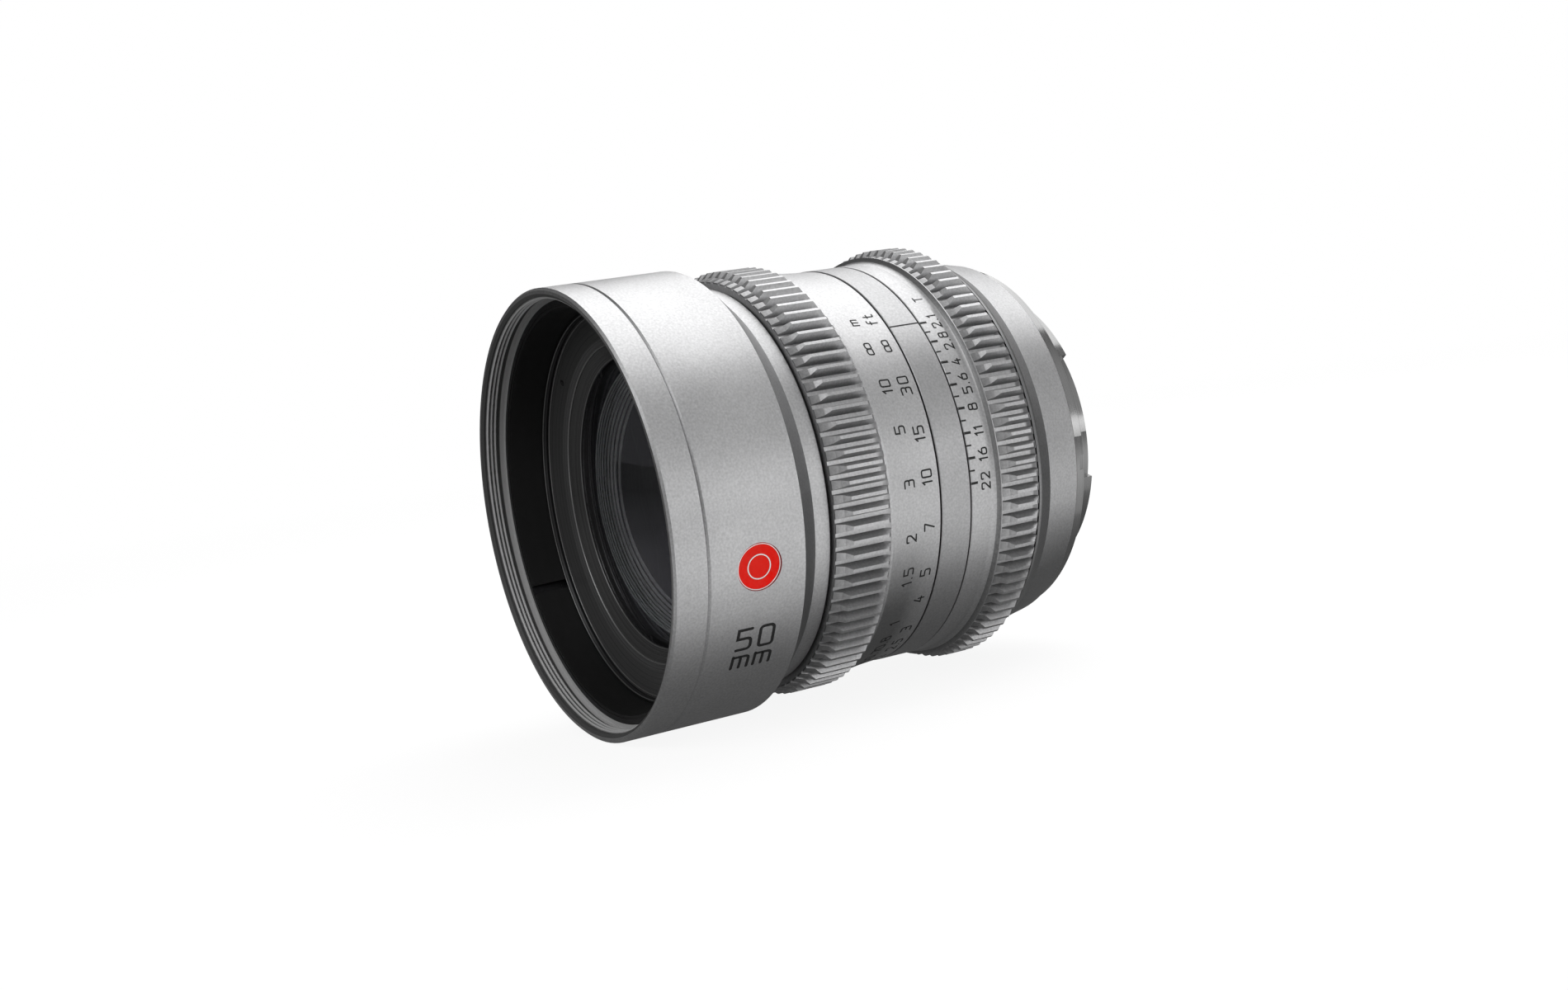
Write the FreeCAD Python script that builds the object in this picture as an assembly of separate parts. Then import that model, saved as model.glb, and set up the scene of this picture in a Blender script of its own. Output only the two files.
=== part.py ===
import FreeCAD, Part
import math
import os

# Cinema prime lens, 50 mm, with geared focus and iris rings. Millimetres and degrees.
# It is drawn standing on its mount: Z runs along the optical axis from the flange
# plane (Z = 0) towards the front rim. Each piece is laid down when it is written, so
# that the front of the lens looks along -Y of the finished part, with Z up.
# Angles turn from +X towards the finished part's +Z.

V = FreeCAD.Vector
ORIGIN = V(0, 0, 0)
AXIS = V(0, 0, 1)
FULL_TURN = 360.0

# Clearances
RUN = 0.06
SEAT = 0.03
RING_GAP = 0.25
FACE_GAP = 0.1
SLOT_RELIEF = 0.1

# How far a cutter reaches past the surface that it opens
OVERCUT = 1.0

# Lengths along the axis, from the mount to the front rim
FLANGE_THICKNESS = 1.95
SHIM_THICKNESS = 0.3
REAR_BARREL_LENGTH = 11.1
IRIS_RING_LENGTH = 13.5
INDEX_RING_LENGTH = 5.95
FOCUS_RING_LENGTH = 21.5
FRONT_BARREL_LENGTH = 25.2
FRONT_RING_LENGTH = 6.3

SHIM_REAR = FLANGE_THICKNESS
REAR_BARREL_REAR = SHIM_REAR + SHIM_THICKNESS
REAR_BARREL_FRONT = REAR_BARREL_REAR + REAR_BARREL_LENGTH
IRIS_REAR = REAR_BARREL_FRONT + RING_GAP
IRIS_FRONT = IRIS_REAR + IRIS_RING_LENGTH
INDEX_REAR = IRIS_FRONT + RING_GAP
INDEX_FRONT = INDEX_REAR + INDEX_RING_LENGTH
FOCUS_REAR = INDEX_FRONT + RING_GAP
FOCUS_FRONT = FOCUS_REAR + FOCUS_RING_LENGTH
BARREL_REAR = FOCUS_FRONT + RING_GAP
BARREL_FRONT = BARREL_REAR + FRONT_BARREL_LENGTH
RIM = BARREL_FRONT + FRONT_RING_LENGTH

# Travel
FOCUS_TURN = 113.4
FOCUS_TRAVEL = 5.0
IRIS_TURN = 48.3
BLADE_TURN = 38.0

# Central tube
TUBE_WALL = 1.8
PLATE_SHOULDER = 0.8
PLATE_SHOULDER_LENGTH = 1.2

# Front barrel and front ring
BARREL_R = 40.0
BARREL_WALL = 3.32
COLLAR_DROP = 4.0
COLLAR_WALL = 2.97
COLLAR_LENGTH = 3.11
BEVEL_LENGTH = 4.24
HUB_LENGTH = 9.5
TUBE_ENTRY = 9.1
SEAM_CHAMFER = 0.3
RIM_CHAMFER = 0.4
RIM_WALL = 1.5
THREAD_DEPTH = 4.4
SOCKET_WALL = 2.1
SOCKET_LENGTH = 4.0

# Blackened sleeve in the front recess
SLEEVE_SETBACK = 4.5
SLEEVE_WALL = 1.04
SLEEVE_MOUTH_WALL = 0.55
KEY_ANGLE = 204.6
KEY_WIDTH = 1.5
KEY_LENGTH = 2.2
KEY_SETBACK = 3.67
KEY_RISE = 0.87
KEY_ROOT = 1.25
KEYWAY_LENGTH = 14.5

# Badge
BADGE_ANGLE = -15.2
BADGE_SETBACK = 15.55
BADGE_R = 4.0
BADGE_THICKNESS = 0.47
BADGE_DEPTH = 0.75
BADGE_MARGIN = 0.12

# Moving front cell
CELL_SETBACK = 10.93
CELL_RIM_WALL = 0.67
CELL_FLANGE_LENGTH = 6.07
CELL_LENGTH = 39.0
CELL_LIP = 0.35
CELL_CHAMFER = 0.57
COVER_SETBACK = 0.97
COVER_WIDTH = 4.85
COVER_SLOPE = 1.05
COVER_DISH = 0.8
COVER_EDGE = 0.5
COVER_SEAT = 3.57
SPANNER_ANGLE = 134.7
SPANNER_INSET = 2.65
SPANNER_HOLE_R = 0.6
SPANNER_DEPTH = 1.3
RETAINER_WIDTH = 2.75
RETAINER_SETBACK = 2.31
RETAINER_DISH = 1.57
RETAINER_EDGE = 0.1

# Front optical group; a bow is a surface's radius over its edge's, and hollow if negative
FRONT_GLASS_BOW = 4.58
FRONT_GLASS_REAR_BOW = -11.45
FRONT_GLASS_SEAT = 7.07
GLASS_SHELF = 2.35
BAFFLE_MOUTH_WALL = 1.4
BAFFLE_END_WALL = 3.4
BAFFLE_LENGTH = 9.7
CELL_STEP_WIDTH = 3.8
CELL_STEP_LENGTH = 0.8
CELL_GLASS_RIM = 1.2
SECOND_GLASS_EDGE = 4.65
SECOND_GLASS_BOW = 2.63
SECOND_GLASS_REAR_BOW = -3.51
CELL_SPACER_LENGTH = 4.45
THIRD_GLASS_EDGE = 5.0
THIRD_GLASS_BOW = 3.95
THIRD_GLASS_REAR_BOW = -1.974
CELL_RETAINER_LENGTH = 3.0
CELL_RETAINER_WIDTH = 4.0

# Focus drive
CAM_WALL = 1.44
CAM_FRONT_MARGIN = 0.45
CAM_REAR_MARGIN = 0.3
FOLLOWERS = 3
FOLLOWER_R = 1.5
FOLLOWER_SETBACK = 13.25
FOLLOWER_DEPTH = 1.64
CAM_DOWELS = 3
CAM_DOWEL_R = 0.8
CAM_DOWEL_LENGTH = 4.0
CAM_DOWEL_ANGLE = 144.6
DOWEL_RECESS = 0.2

# Gear teeth of both rings
TEETH = 95
GEAR_DROP = 2.0
ADDENDUM = 0.65
DEDENDUM = 1.1
SPACE_BOTTOM = 0.7
FLANK_ANGLE = 20.0
RUN_OUT_R = 1.8
RUN_OUT_SETBACK = 0.05
TIP_DROP = 0.8
SCOOP_DROP = 0.35
SCOOP_SHARE = 0.6
FOCUS_CREST_ANGLE = -3.6
IRIS_CREST_ANGLE = -6.8

# Focus ring outline
FOCUS_SCOOP_LENGTH = 2.6
FOCUS_CREST_LENGTH = 7.0
GEAR_END_LENGTH = 1.1
FOCUS_SHOULDER_DROP = 0.65
FOCUS_SHOULDER_LENGTH = 0.5
SKIRT_DROP = 1.6
SKIRT_SAG = 0.18
EDGE_CHAMFER = 0.12

# Index ring and iris ring outline
SCALE_DROP = 1.5
IRIS_SCALE_LENGTH = 3.9
FLARE_DROP = 0.35
FLARE_LENGTH = 1.5
FLARE_SAG = 0.2
LIP_LENGTH = 0.2
LIP_GROOVE_LENGTH = 0.35
LIP_GROOVE_DROP = 1.3
IRIS_SCOOP_LENGTH = 2.2
IRIS_CREST_LENGTH = 4.2
IRIS_SHOULDER_DROP = 0.5

# Iris
BLADES = 9
BLADE_THICKNESS = 0.15
BLADE_PITCH = 0.25
BLADE_WIDTH = 5.6
BLADE_INSET = 1.7
BLADE_SPAN = 98.0
BLADE_ROOT_ANGLE = -4.0
PIVOT_INSET = 6.7
PIVOT_PIN_R = 0.6
LEVER_LENGTH = 4.5
LEVER_ANGLE = -100.0
EYE_R = 1.2
EYE_CORNER = 0.4
PLATE_SETBACK = 2.3
PLATE_THICKNESS = 1.2
PLATE_OVERLAP = 0.2
BLADE_PLATE_GAP = 0.1
ACTUATOR_GAP = 0.25
ACTUATOR_WEB = 1.2
ACTUATOR_SKIRT = 3.6
ACTUATOR_SKIRT_WALL = 1.7
ACTUATOR_SETBACK = 0.2
ACTUATOR_CLEARANCE = 0.1
TRACK_STEP = 0.01
PIN_GRIP = 0.8
DRIVE_PINS = 2
DRIVE_PIN_R = 1.2
DRIVE_PIN_ANGLE = 60.0
DRIVE_PIN_SETBACK = 9.3
DRIVE_PIN_COVER = 1.0
IRIS_RETAINER_GAP = 0.3
IRIS_RETAINER_LENGTH = 1.5
IRIS_RETAINER_WIDTH = 2.5

# Rear optical group
REAR_FLANGE_LENGTH = 4.0
REAR_CELL_WAIST_GAP = 0.7
REAR_CELL_WAIST_LENGTH = 7.4
REAR_CELL_TAIL_GAP = 0.32
REAR_CELL_TAIL_LENGTH = 6.4
REAR_CELL_WALL = 2.0
REAR_GLASS_SETBACK = 1.0
FOURTH_GLASS_EDGE = 3.8
FOURTH_GLASS_BOW = -3.43
FOURTH_GLASS_REAR_BOW = 6.5
FIRST_REAR_SPACER_LENGTH = 3.8
FIFTH_GLASS_EDGE = 2.4
FIFTH_GLASS_BOW = 6.86
FIFTH_GLASS_REAR_BOW = 6.0
SECOND_REAR_SPACER_LENGTH = 3.5
REAR_GLASS_EDGE = 1.9
REAR_GLASS_BOW = 8.57
REAR_GLASS_REAR_BOW = 11.43
REAR_GLASS_RIM = 1.5

# Rear barrel
REAR_BARREL_DROP = 0.6
REAR_SHOULDER_LENGTH = 0.65
REAR_SHOULDER_DROP = 0.2
REAR_BEVEL_LENGTH = 3.3
REAR_BEVEL_DROP = 2.15
REAR_CONE_DROP = 1.35
REAR_LIP_LENGTH = 2.45
REAR_LIP_WIDTH = 7.4
REAR_EDGE_CHAMFER = 0.25

# Mount
FLANGE_DROP = 1.0
SHIM_DROP = 0.6
SHIM_WIDTH = 1.7
FLANGE_WIDTH = 7.4
SPIGOT_WALL = 1.5
BAYONET_DEPTH = 6.6
LUGS = 3
LUG_RISE = 1.5
LUG_SPAN = 70.0
LUG_THICKNESS = 2.0
LUG_ANGLE = 67.0
LUG_SETBACK = 0.2
NOTCH_ANGLE = -8.3
NOTCH_WIDTH = 2.7
NOTCH_DEPTH = 1.0
NOTCH_REACH = 1.7
MOUNT_SCREWS = 4
MOUNT_SCREW_INSET = 3.5
MOUNT_SCREW_ANGLE = 35.0
SCREW_HEAD_R = 1.7
SCREW_HEAD_HEIGHT = 0.9
SCREW_SHANK_R = 0.8
SCREW_LENGTH = 4.2
TRAP_LENGTH = 6.8
TRAP_DEPTH = 5.8
TRAP_WALL = 2.65
TRAP_MOUTH_WALL = 1.6

# Radii that follow from the sizes above, from the front to the rear
BARREL_BORE_R = BARREL_R - BARREL_WALL
FILTER_THREAD_R = BARREL_R - RIM_WALL
BADGE_FLOOR_R = BARREL_R - BADGE_DEPTH
COLLAR_R = BARREL_R - COLLAR_DROP
HUB_BORE_R = COLLAR_R - COLLAR_WALL
TUBE_OUTER_R = HUB_BORE_R - SEAT
TUBE_INNER_R = TUBE_OUTER_R - TUBE_WALL
SLEEVE_OUTER_R = BARREL_BORE_R - SEAT
SLEEVE_MOUTH_R = SLEEVE_OUTER_R - SLEEVE_MOUTH_WALL
SLEEVE_BORE_R = SLEEVE_OUTER_R - SLEEVE_WALL
CELL_R = SLEEVE_BORE_R - RUN
CELL_TUBE_R = TUBE_INNER_R - RUN
COVER_R = CELL_R - CELL_RIM_WALL - SEAT
COVER_STEP_R = COVER_R - COVER_WIDTH
SPANNER_R = COVER_R - SPANNER_INSET
RETAINER_OUTER_R = COVER_STEP_R - COVER_SLOPE
RETAINER_MOUTH_R = RETAINER_OUTER_R - RETAINER_WIDTH
BAFFLE_BORE_R = RETAINER_OUTER_R - GLASS_SHELF
BAFFLE_MOUTH_R = BAFFLE_BORE_R - BAFFLE_MOUTH_WALL
BAFFLE_END_R = BAFFLE_BORE_R - BAFFLE_END_WALL
CELL_CLEAR_R = BAFFLE_BORE_R - CELL_STEP_WIDTH
CELL_BORE_R = CELL_CLEAR_R + CELL_GLASS_RIM
CELL_RETAINER_BORE_R = CELL_BORE_R - CELL_RETAINER_WIDTH
FOLLOWER_ROOT_R = CELL_TUBE_R - FOLLOWER_DEPTH
CAM_BORE_R = TUBE_OUTER_R + RUN
CAM_OUTER_R = CAM_BORE_R + CAM_WALL
FOCUS_BORE_R = CAM_OUTER_R + SEAT
PITCH_R = BARREL_R - GEAR_DROP
CREST_R = PITCH_R + ADDENDUM
ROOT_R = PITCH_R - DEDENDUM
TIP_R = PITCH_R - TIP_DROP
SCOOP_R = PITCH_R - SCOOP_DROP
FOCUS_SHOULDER_R = PITCH_R - FOCUS_SHOULDER_DROP
SKIRT_R = PITCH_R - SKIRT_DROP
SCALE_R = PITCH_R - SCALE_DROP
FLARE_R = PITCH_R - FLARE_DROP
LIP_GROOVE_R = PITCH_R - LIP_GROOVE_DROP
IRIS_SHOULDER_R = PITCH_R - IRIS_SHOULDER_DROP
PIVOT_CIRCLE_R = TUBE_INNER_R - PIVOT_INSET
BLADE_OUTER_R = PIVOT_CIRCLE_R - BLADE_INSET
BLADE_INNER_R = BLADE_OUTER_R - BLADE_WIDTH
PLATE_BORE_R = BLADE_INNER_R - PLATE_OVERLAP
ACTUATOR_BORE_R = BLADE_INNER_R + ACTUATOR_SETBACK
ACTUATOR_SKIRT_R = TUBE_INNER_R - ACTUATOR_SKIRT_WALL
DRIVE_PIN_TIP_R = SCALE_R - DRIVE_PIN_COVER
IRIS_RETAINER_BORE_R = ACTUATOR_SKIRT_R - IRIS_RETAINER_WIDTH
REAR_SHOULDER_R = PITCH_R - REAR_BARREL_DROP
REAR_CONE_FRONT_R = REAR_SHOULDER_R - REAR_BEVEL_DROP
REAR_CONE_REAR_R = REAR_CONE_FRONT_R - REAR_CONE_DROP
REAR_LIP_BORE_R = REAR_CONE_REAR_R - REAR_LIP_WIDTH
FLANGE_R = REAR_CONE_REAR_R - FLANGE_DROP
SHIM_R = FLANGE_R - SHIM_DROP
SHIM_BORE_R = SHIM_R - SHIM_WIDTH
SPIGOT_R = FLANGE_R - FLANGE_WIDTH
BAYONET_BORE_R = SPIGOT_R - SPIGOT_WALL
TRAP_R = BAYONET_BORE_R - SEAT
LUG_R = SPIGOT_R + LUG_RISE
NOTCH_FLOOR_R = FLANGE_R - NOTCH_REACH
MOUNT_SCREW_CIRCLE_R = FLANGE_R - MOUNT_SCREW_INSET
REAR_CELL_WAIST_R = REAR_LIP_BORE_R - REAR_CELL_WAIST_GAP
REAR_CELL_TAIL_R = TRAP_R - TRAP_WALL - REAR_CELL_TAIL_GAP
REAR_BORE_R = REAR_CELL_TAIL_R - REAR_CELL_WALL
REAR_CLEAR_R = REAR_BORE_R - REAR_GLASS_RIM

# Heights that follow from the sizes above
CELL_FRONT = RIM - CELL_SETBACK
CELL_REAR = CELL_FRONT - CELL_LENGTH
SLEEVE_SEAT = BARREL_REAR + HUB_LENGTH
TUBE_FRONT = BARREL_REAR + TUBE_ENTRY
TUBE_REAR = REAR_BARREL_REAR + REAR_LIP_LENGTH
FOLLOWER_Z = FOCUS_FRONT - FOLLOWER_SETBACK
PLATE_FRONT = IRIS_FRONT - PLATE_SETBACK
PLATE_REAR = PLATE_FRONT - PLATE_THICKNESS
BLADE_TOP = PLATE_REAR - BLADE_PLATE_GAP
ACTUATOR_FRONT = BLADE_TOP - (BLADES - 1) * BLADE_PITCH - BLADE_THICKNESS - ACTUATOR_GAP
ACTUATOR_REAR = ACTUATOR_FRONT - ACTUATOR_WEB - ACTUATOR_SKIRT
DRIVE_PIN_Z = IRIS_FRONT - DRIVE_PIN_SETBACK
IRIS_RETAINER_FRONT = ACTUATOR_REAR - IRIS_RETAINER_GAP
REAR_CELL_FRONT = IRIS_RETAINER_FRONT - IRIS_RETAINER_LENGTH
REAR_CELL_SHOULDER = REAR_CELL_FRONT - REAR_FLANGE_LENGTH
REAR_CELL_STEP = REAR_CELL_SHOULDER - REAR_CELL_WAIST_LENGTH
REAR_CELL_REAR = REAR_CELL_STEP - REAR_CELL_TAIL_LENGTH


def outline(steps):
    """Closed wire of (r, z) steps; four numbers are an arc through the first pair."""
    edges = []
    here = steps[0]
    for step in steps[1:] + steps[:1]:
        there = step[-2:]
        start = V(here[0], 0, here[1])
        end = V(there[0], 0, there[1])
        if len(step) == 4:
            edges.append(Part.Arc(start, V(step[0], 0, step[1]), end).toShape())
        else:
            edges.append(Part.makeLine(start, end))
        here = there
    return Part.Wire(edges)


def turned(steps, span=FULL_TURN):
    """Solid of revolution about the optical axis."""
    return Part.Face(outline(steps)).revolve(ORIGIN, AXIS, span)


def spun(shape, angle):
    """A copy turned about the optical axis."""
    copy = shape.copy()
    copy.rotate(ORIGIN, AXIS, angle)
    return copy


def round_about(shape, count, first_angle=0.0):
    """Evenly spaced copies about the optical axis."""
    return [spun(shape, first_angle + FULL_TURN * i / count) for i in range(count)]


def polar(radius, angle, z=0.0):
    """Point at a radius and an angle about the optical axis."""
    turn = math.radians(angle)
    return V(radius * math.cos(turn), radius * math.sin(turn), z)


def radial_pin(radius, inner_r, outer_r, z):
    """Cylinder pointing outwards along +X."""
    return Part.makeCylinder(radius, outer_r - inner_r, V(inner_r, 0, z), V(1, 0, 0))


def axial_pin(radius, rear, front, place=ORIGIN):
    """Cylinder along the optical axis between two heights."""
    return Part.makeCylinder(radius, front - rear, V(place.x, place.y, rear), AXIS)


def block(inner_r, outer_r, width, rear, front):
    """Radial block centred on the XZ plane."""
    return Part.makeBox(outer_r - inner_r, width, front - rear, V(inner_r, -width / 2, rear))


def sag(bow, edge_r, share=1.0):
    """Depth of a spherical surface at a share of its edge radius."""
    depth = abs(bow) - math.sqrt(bow * bow - share * share)
    return math.copysign(depth, bow) * edge_r


def glass(front_edge, rear_edge, radius, clear_r, front_bow, rear_bow):
    """Lens element: two spherical surfaces as wide as clear_r, with flat seats outside."""
    front_top = front_edge + sag(front_bow, clear_r)
    rear_top = rear_edge - sag(rear_bow, clear_r)
    half = clear_r / 2
    return turned([
        (0.0, front_top),
        (half, front_top - sag(front_bow, clear_r, 1 / 2), clear_r, front_edge),
        (radius, front_edge),
        (radius, rear_edge),
        (clear_r, rear_edge),
        (half, rear_top + sag(rear_bow, clear_r, 1 / 2), 0.0, rear_top),
    ])


def spacer(outer_r, bore_r, rear, front):
    """Plain ring."""
    return turned([(bore_r, rear), (outer_r, rear), (outer_r, front), (bore_r, front)])


def front_ring():
    """Front rim with the bore for the filter thread and a spigot into the barrel."""
    shoulder = RIM - THREAD_DEPTH
    spigot_r = BARREL_BORE_R + SOCKET_WALL
    return turned([
        (FILTER_THREAD_R + RIM_CHAMFER, RIM),
        (BARREL_R - RIM_CHAMFER, RIM),
        (BARREL_R, RIM - RIM_CHAMFER),
        (BARREL_R, BARREL_FRONT + SEAM_CHAMFER),
        (BARREL_R - SEAM_CHAMFER, BARREL_FRONT),
        (spigot_r, BARREL_FRONT),
        (spigot_r, BARREL_FRONT - SOCKET_LENGTH),
        (BARREL_BORE_R, BARREL_FRONT - SOCKET_LENGTH),
        (BARREL_BORE_R, shoulder),
        (FILTER_THREAD_R, shoulder),
        (FILTER_THREAD_R, RIM - RIM_CHAMFER),
    ])


def badge_disc(radius, floor_r, top_r):
    """Round plug let into the side of the barrel."""
    return spun(radial_pin(radius, floor_r, top_r, RIM - BADGE_SETBACK), BADGE_ANGLE)


def front_barrel():
    """Wide front barrel, bevelled down to a collar, with a hub on the central tube."""
    socket_r = BARREL_BORE_R + SOCKET_WALL + SEAT
    socket_floor = BARREL_FRONT - SOCKET_LENGTH - SEAT
    collar_front = BARREL_REAR + COLLAR_LENGTH
    body = turned([
        (socket_r, BARREL_FRONT),
        (BARREL_R - SEAM_CHAMFER, BARREL_FRONT),
        (BARREL_R, BARREL_FRONT - SEAM_CHAMFER),
        (BARREL_R, collar_front + BEVEL_LENGTH),
        (COLLAR_R, collar_front),
        (COLLAR_R, BARREL_REAR + SEAM_CHAMFER),
        (COLLAR_R - SEAM_CHAMFER, BARREL_REAR),
        (HUB_BORE_R, BARREL_REAR),
        (HUB_BORE_R, SLEEVE_SEAT),
        (BARREL_BORE_R, SLEEVE_SEAT),
        (BARREL_BORE_R, socket_floor),
        (socket_r, socket_floor),
    ])
    return body.cut(badge_disc(BADGE_R + BADGE_MARGIN, BADGE_FLOOR_R, BARREL_R + OVERCUT))


def badge_inlay():
    """Plain disc in the barrel's round pocket."""
    return badge_disc(BADGE_R, BADGE_FLOOR_R, BADGE_FLOOR_R + BADGE_THICKNESS)


def inner_sleeve():
    """Blackened wall of the front recess, with the keyway that stops the cell turning."""
    front = RIM - SLEEVE_SETBACK
    body = turned([
        (SLEEVE_MOUTH_R, front),
        (SLEEVE_OUTER_R, front),
        (SLEEVE_OUTER_R, SLEEVE_SEAT),
        (SLEEVE_BORE_R, SLEEVE_SEAT),
        (SLEEVE_BORE_R, CELL_FRONT),
    ])
    width = KEY_WIDTH + 2 * RUN
    inner = CELL_R - OVERCUT
    outer = SLEEVE_OUTER_R + OVERCUT
    keyway = block(inner, outer, width, front - KEYWAY_LENGTH, front + OVERCUT)
    return body.cut(spun(keyway, KEY_ANGLE))


def straight_slots(travel, half_width, z, inner_r, outer_r):
    """Tool for a slot with round ends that runs forward from z."""
    web = block(inner_r, outer_r, 2 * half_width, z, z + travel)
    ends = [radial_pin(half_width, inner_r, outer_r, z + rise) for rise in (0, travel)]
    return web.multiFuse(ends)


def arc_slot(turn, half_width, z, inner_r, outer_r):
    """Tool for a slot with round ends that runs round the axis from +X."""
    section = [
        (inner_r, z - half_width),
        (outer_r, z - half_width),
        (outer_r, z + half_width),
        (inner_r, z + half_width),
    ]
    end = radial_pin(half_width, inner_r, outer_r, z)
    return turned(section, turn).multiFuse([end, spun(end, turn)])


def main_tube():
    """Central tube that carries every ring, with the follower and drive pin slots."""
    rib_r = TUBE_INNER_R - PLATE_SHOULDER
    body = turned([
        (TUBE_INNER_R, TUBE_REAR),
        (TUBE_OUTER_R, TUBE_REAR),
        (TUBE_OUTER_R, TUBE_FRONT),
        (TUBE_INNER_R, TUBE_FRONT),
        (TUBE_INNER_R, PLATE_FRONT + PLATE_SHOULDER_LENGTH),
        (rib_r, PLATE_FRONT + PLATE_SHOULDER_LENGTH),
        (rib_r, PLATE_FRONT),
        (TUBE_INNER_R, PLATE_FRONT),
    ])
    inner = TUBE_INNER_R - OVERCUT
    outer = TUBE_OUTER_R + OVERCUT
    follower_slot = straight_slots(FOCUS_TRAVEL, FOLLOWER_R + RUN, FOLLOWER_Z, inner, outer)
    pin_slot = arc_slot(IRIS_TURN, DRIVE_PIN_R + RUN, DRIVE_PIN_Z, inner, outer)
    slots = round_about(follower_slot, FOLLOWERS, KEY_ANGLE)
    slots += round_about(pin_slot, DRIVE_PINS, DRIVE_PIN_ANGLE)
    return body.cut(slots)


def front_cell():
    """Barrel of the front optical group, which slides in the central tube."""
    cover_floor = CELL_FRONT - COVER_SEAT
    glass_seat = CELL_FRONT - FRONT_GLASS_SEAT
    step_front = glass_seat - BAFFLE_LENGTH - FACE_GAP
    recess_r = COVER_R + SEAT
    glass_bore_r = RETAINER_OUTER_R + SEAT
    flange_rear = CELL_FRONT - CELL_FLANGE_LENGTH
    body = turned([
        (CELL_R - CELL_LIP, CELL_FRONT),
        (CELL_R - EDGE_CHAMFER, CELL_FRONT),
        (CELL_R, CELL_FRONT - EDGE_CHAMFER),
        (CELL_R, flange_rear),
        (CELL_TUBE_R, flange_rear),
        (CELL_TUBE_R, CELL_REAR),
        (CELL_BORE_R, CELL_REAR),
        (CELL_BORE_R, step_front - CELL_STEP_LENGTH),
        (CELL_CLEAR_R, step_front - CELL_STEP_LENGTH),
        (CELL_CLEAR_R, step_front),
        (BAFFLE_BORE_R, step_front),
        (BAFFLE_BORE_R, glass_seat),
        (glass_bore_r, glass_seat),
        (glass_bore_r, cover_floor),
        (recess_r, cover_floor),
        (recess_r, CELL_FRONT - CELL_CHAMFER),
    ])
    follower_hole = radial_pin(FOLLOWER_R, FOLLOWER_ROOT_R, CELL_TUBE_R + OVERCUT, FOLLOWER_Z)
    tools = round_about(follower_hole, FOLLOWERS, KEY_ANGLE)
    return body.cut(tools + [guide_key()])


def guide_key():
    """Key on the cell's rim that slides in the sleeve's keyway."""
    front = CELL_FRONT - KEY_SETBACK
    body = block(CELL_R - KEY_ROOT, CELL_R + KEY_RISE, KEY_WIDTH, front - KEY_LENGTH, front)
    return spun(body, KEY_ANGLE)


def cam_followers():
    """Three radial pins that lead the cell along the cam slots."""
    tip = CAM_OUTER_R - EDGE_CHAMFER
    pin = radial_pin(FOLLOWER_R, FOLLOWER_ROOT_R, tip, FOLLOWER_Z)
    return Part.makeCompound(round_about(pin, FOLLOWERS, KEY_ANGLE))


def cover_ring():
    """Dished plate round the front glass, with two spanner holes."""
    front = CELL_FRONT - COVER_SETBACK
    floor = CELL_FRONT - COVER_SEAT
    bore = RETAINER_OUTER_R + SEAT
    body = turned([
        (COVER_R, front),
        (COVER_R, floor),
        (bore, floor),
        (bore, front - COVER_DISH - COVER_EDGE),
        (COVER_STEP_R, front - COVER_DISH),
    ])
    hole = axial_pin(SPANNER_HOLE_R, front - COVER_DISH - SPANNER_DEPTH, front, V(SPANNER_R, 0, 0))
    return body.cut(round_about(hole, 2, SPANNER_ANGLE))


def front_retainer():
    """Threaded ring that holds the front glass, with a sloping face."""
    front = CELL_FRONT - RETAINER_SETBACK
    rear = front - RETAINER_DISH - RETAINER_EDGE
    return turned([
        (RETAINER_OUTER_R, front),
        (RETAINER_OUTER_R, rear),
        (RETAINER_MOUTH_R, rear),
        (RETAINER_MOUTH_R, front - RETAINER_DISH),
    ])


def front_element():
    """Large front glass, a meniscus with its bulge to the front."""
    front = CELL_FRONT - RETAINER_SETBACK - RETAINER_DISH - RETAINER_EDGE
    rear = CELL_FRONT - FRONT_GLASS_SEAT
    bows = (FRONT_GLASS_BOW, FRONT_GLASS_REAR_BOW)
    return glass(front, rear, RETAINER_OUTER_R, RETAINER_MOUTH_R, *bows)


def baffle_spacer():
    """Tapered light baffle behind the front glass."""
    front = CELL_FRONT - FRONT_GLASS_SEAT - FACE_GAP / 2
    rear = front - BAFFLE_LENGTH
    outer = BAFFLE_BORE_R - SEAT
    return turned([(outer, rear), (outer, front), (BAFFLE_MOUTH_R, front), (BAFFLE_END_R, rear)])


def cell_stack():
    """Heights of the seats behind the cell's step, from front to rear."""
    step_front = CELL_FRONT - FRONT_GLASS_SEAT - BAFFLE_LENGTH - FACE_GAP
    second_front = step_front - CELL_STEP_LENGTH
    second_rear = second_front - SECOND_GLASS_EDGE
    third_front = second_rear - CELL_SPACER_LENGTH
    third_rear = third_front - THIRD_GLASS_EDGE
    return second_front, second_rear, third_front, third_rear


def second_element():
    """Thick second glass, pressed against the cell's step."""
    front, rear, _, _ = cell_stack()
    bows = (SECOND_GLASS_BOW, SECOND_GLASS_REAR_BOW)
    return glass(front, rear, CELL_BORE_R - SEAT, CELL_CLEAR_R, *bows)


def cell_spacer():
    """Ring between the second and third glasses."""
    _, front, rear, _ = cell_stack()
    return spacer(CELL_BORE_R - SEAT, CELL_CLEAR_R, rear, front)


def third_element():
    """Deeply hollowed third glass in front of the iris."""
    _, _, front, rear = cell_stack()
    bows = (THIRD_GLASS_BOW, THIRD_GLASS_REAR_BOW)
    return glass(front, rear, CELL_BORE_R - SEAT, CELL_CLEAR_R, *bows)


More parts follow.
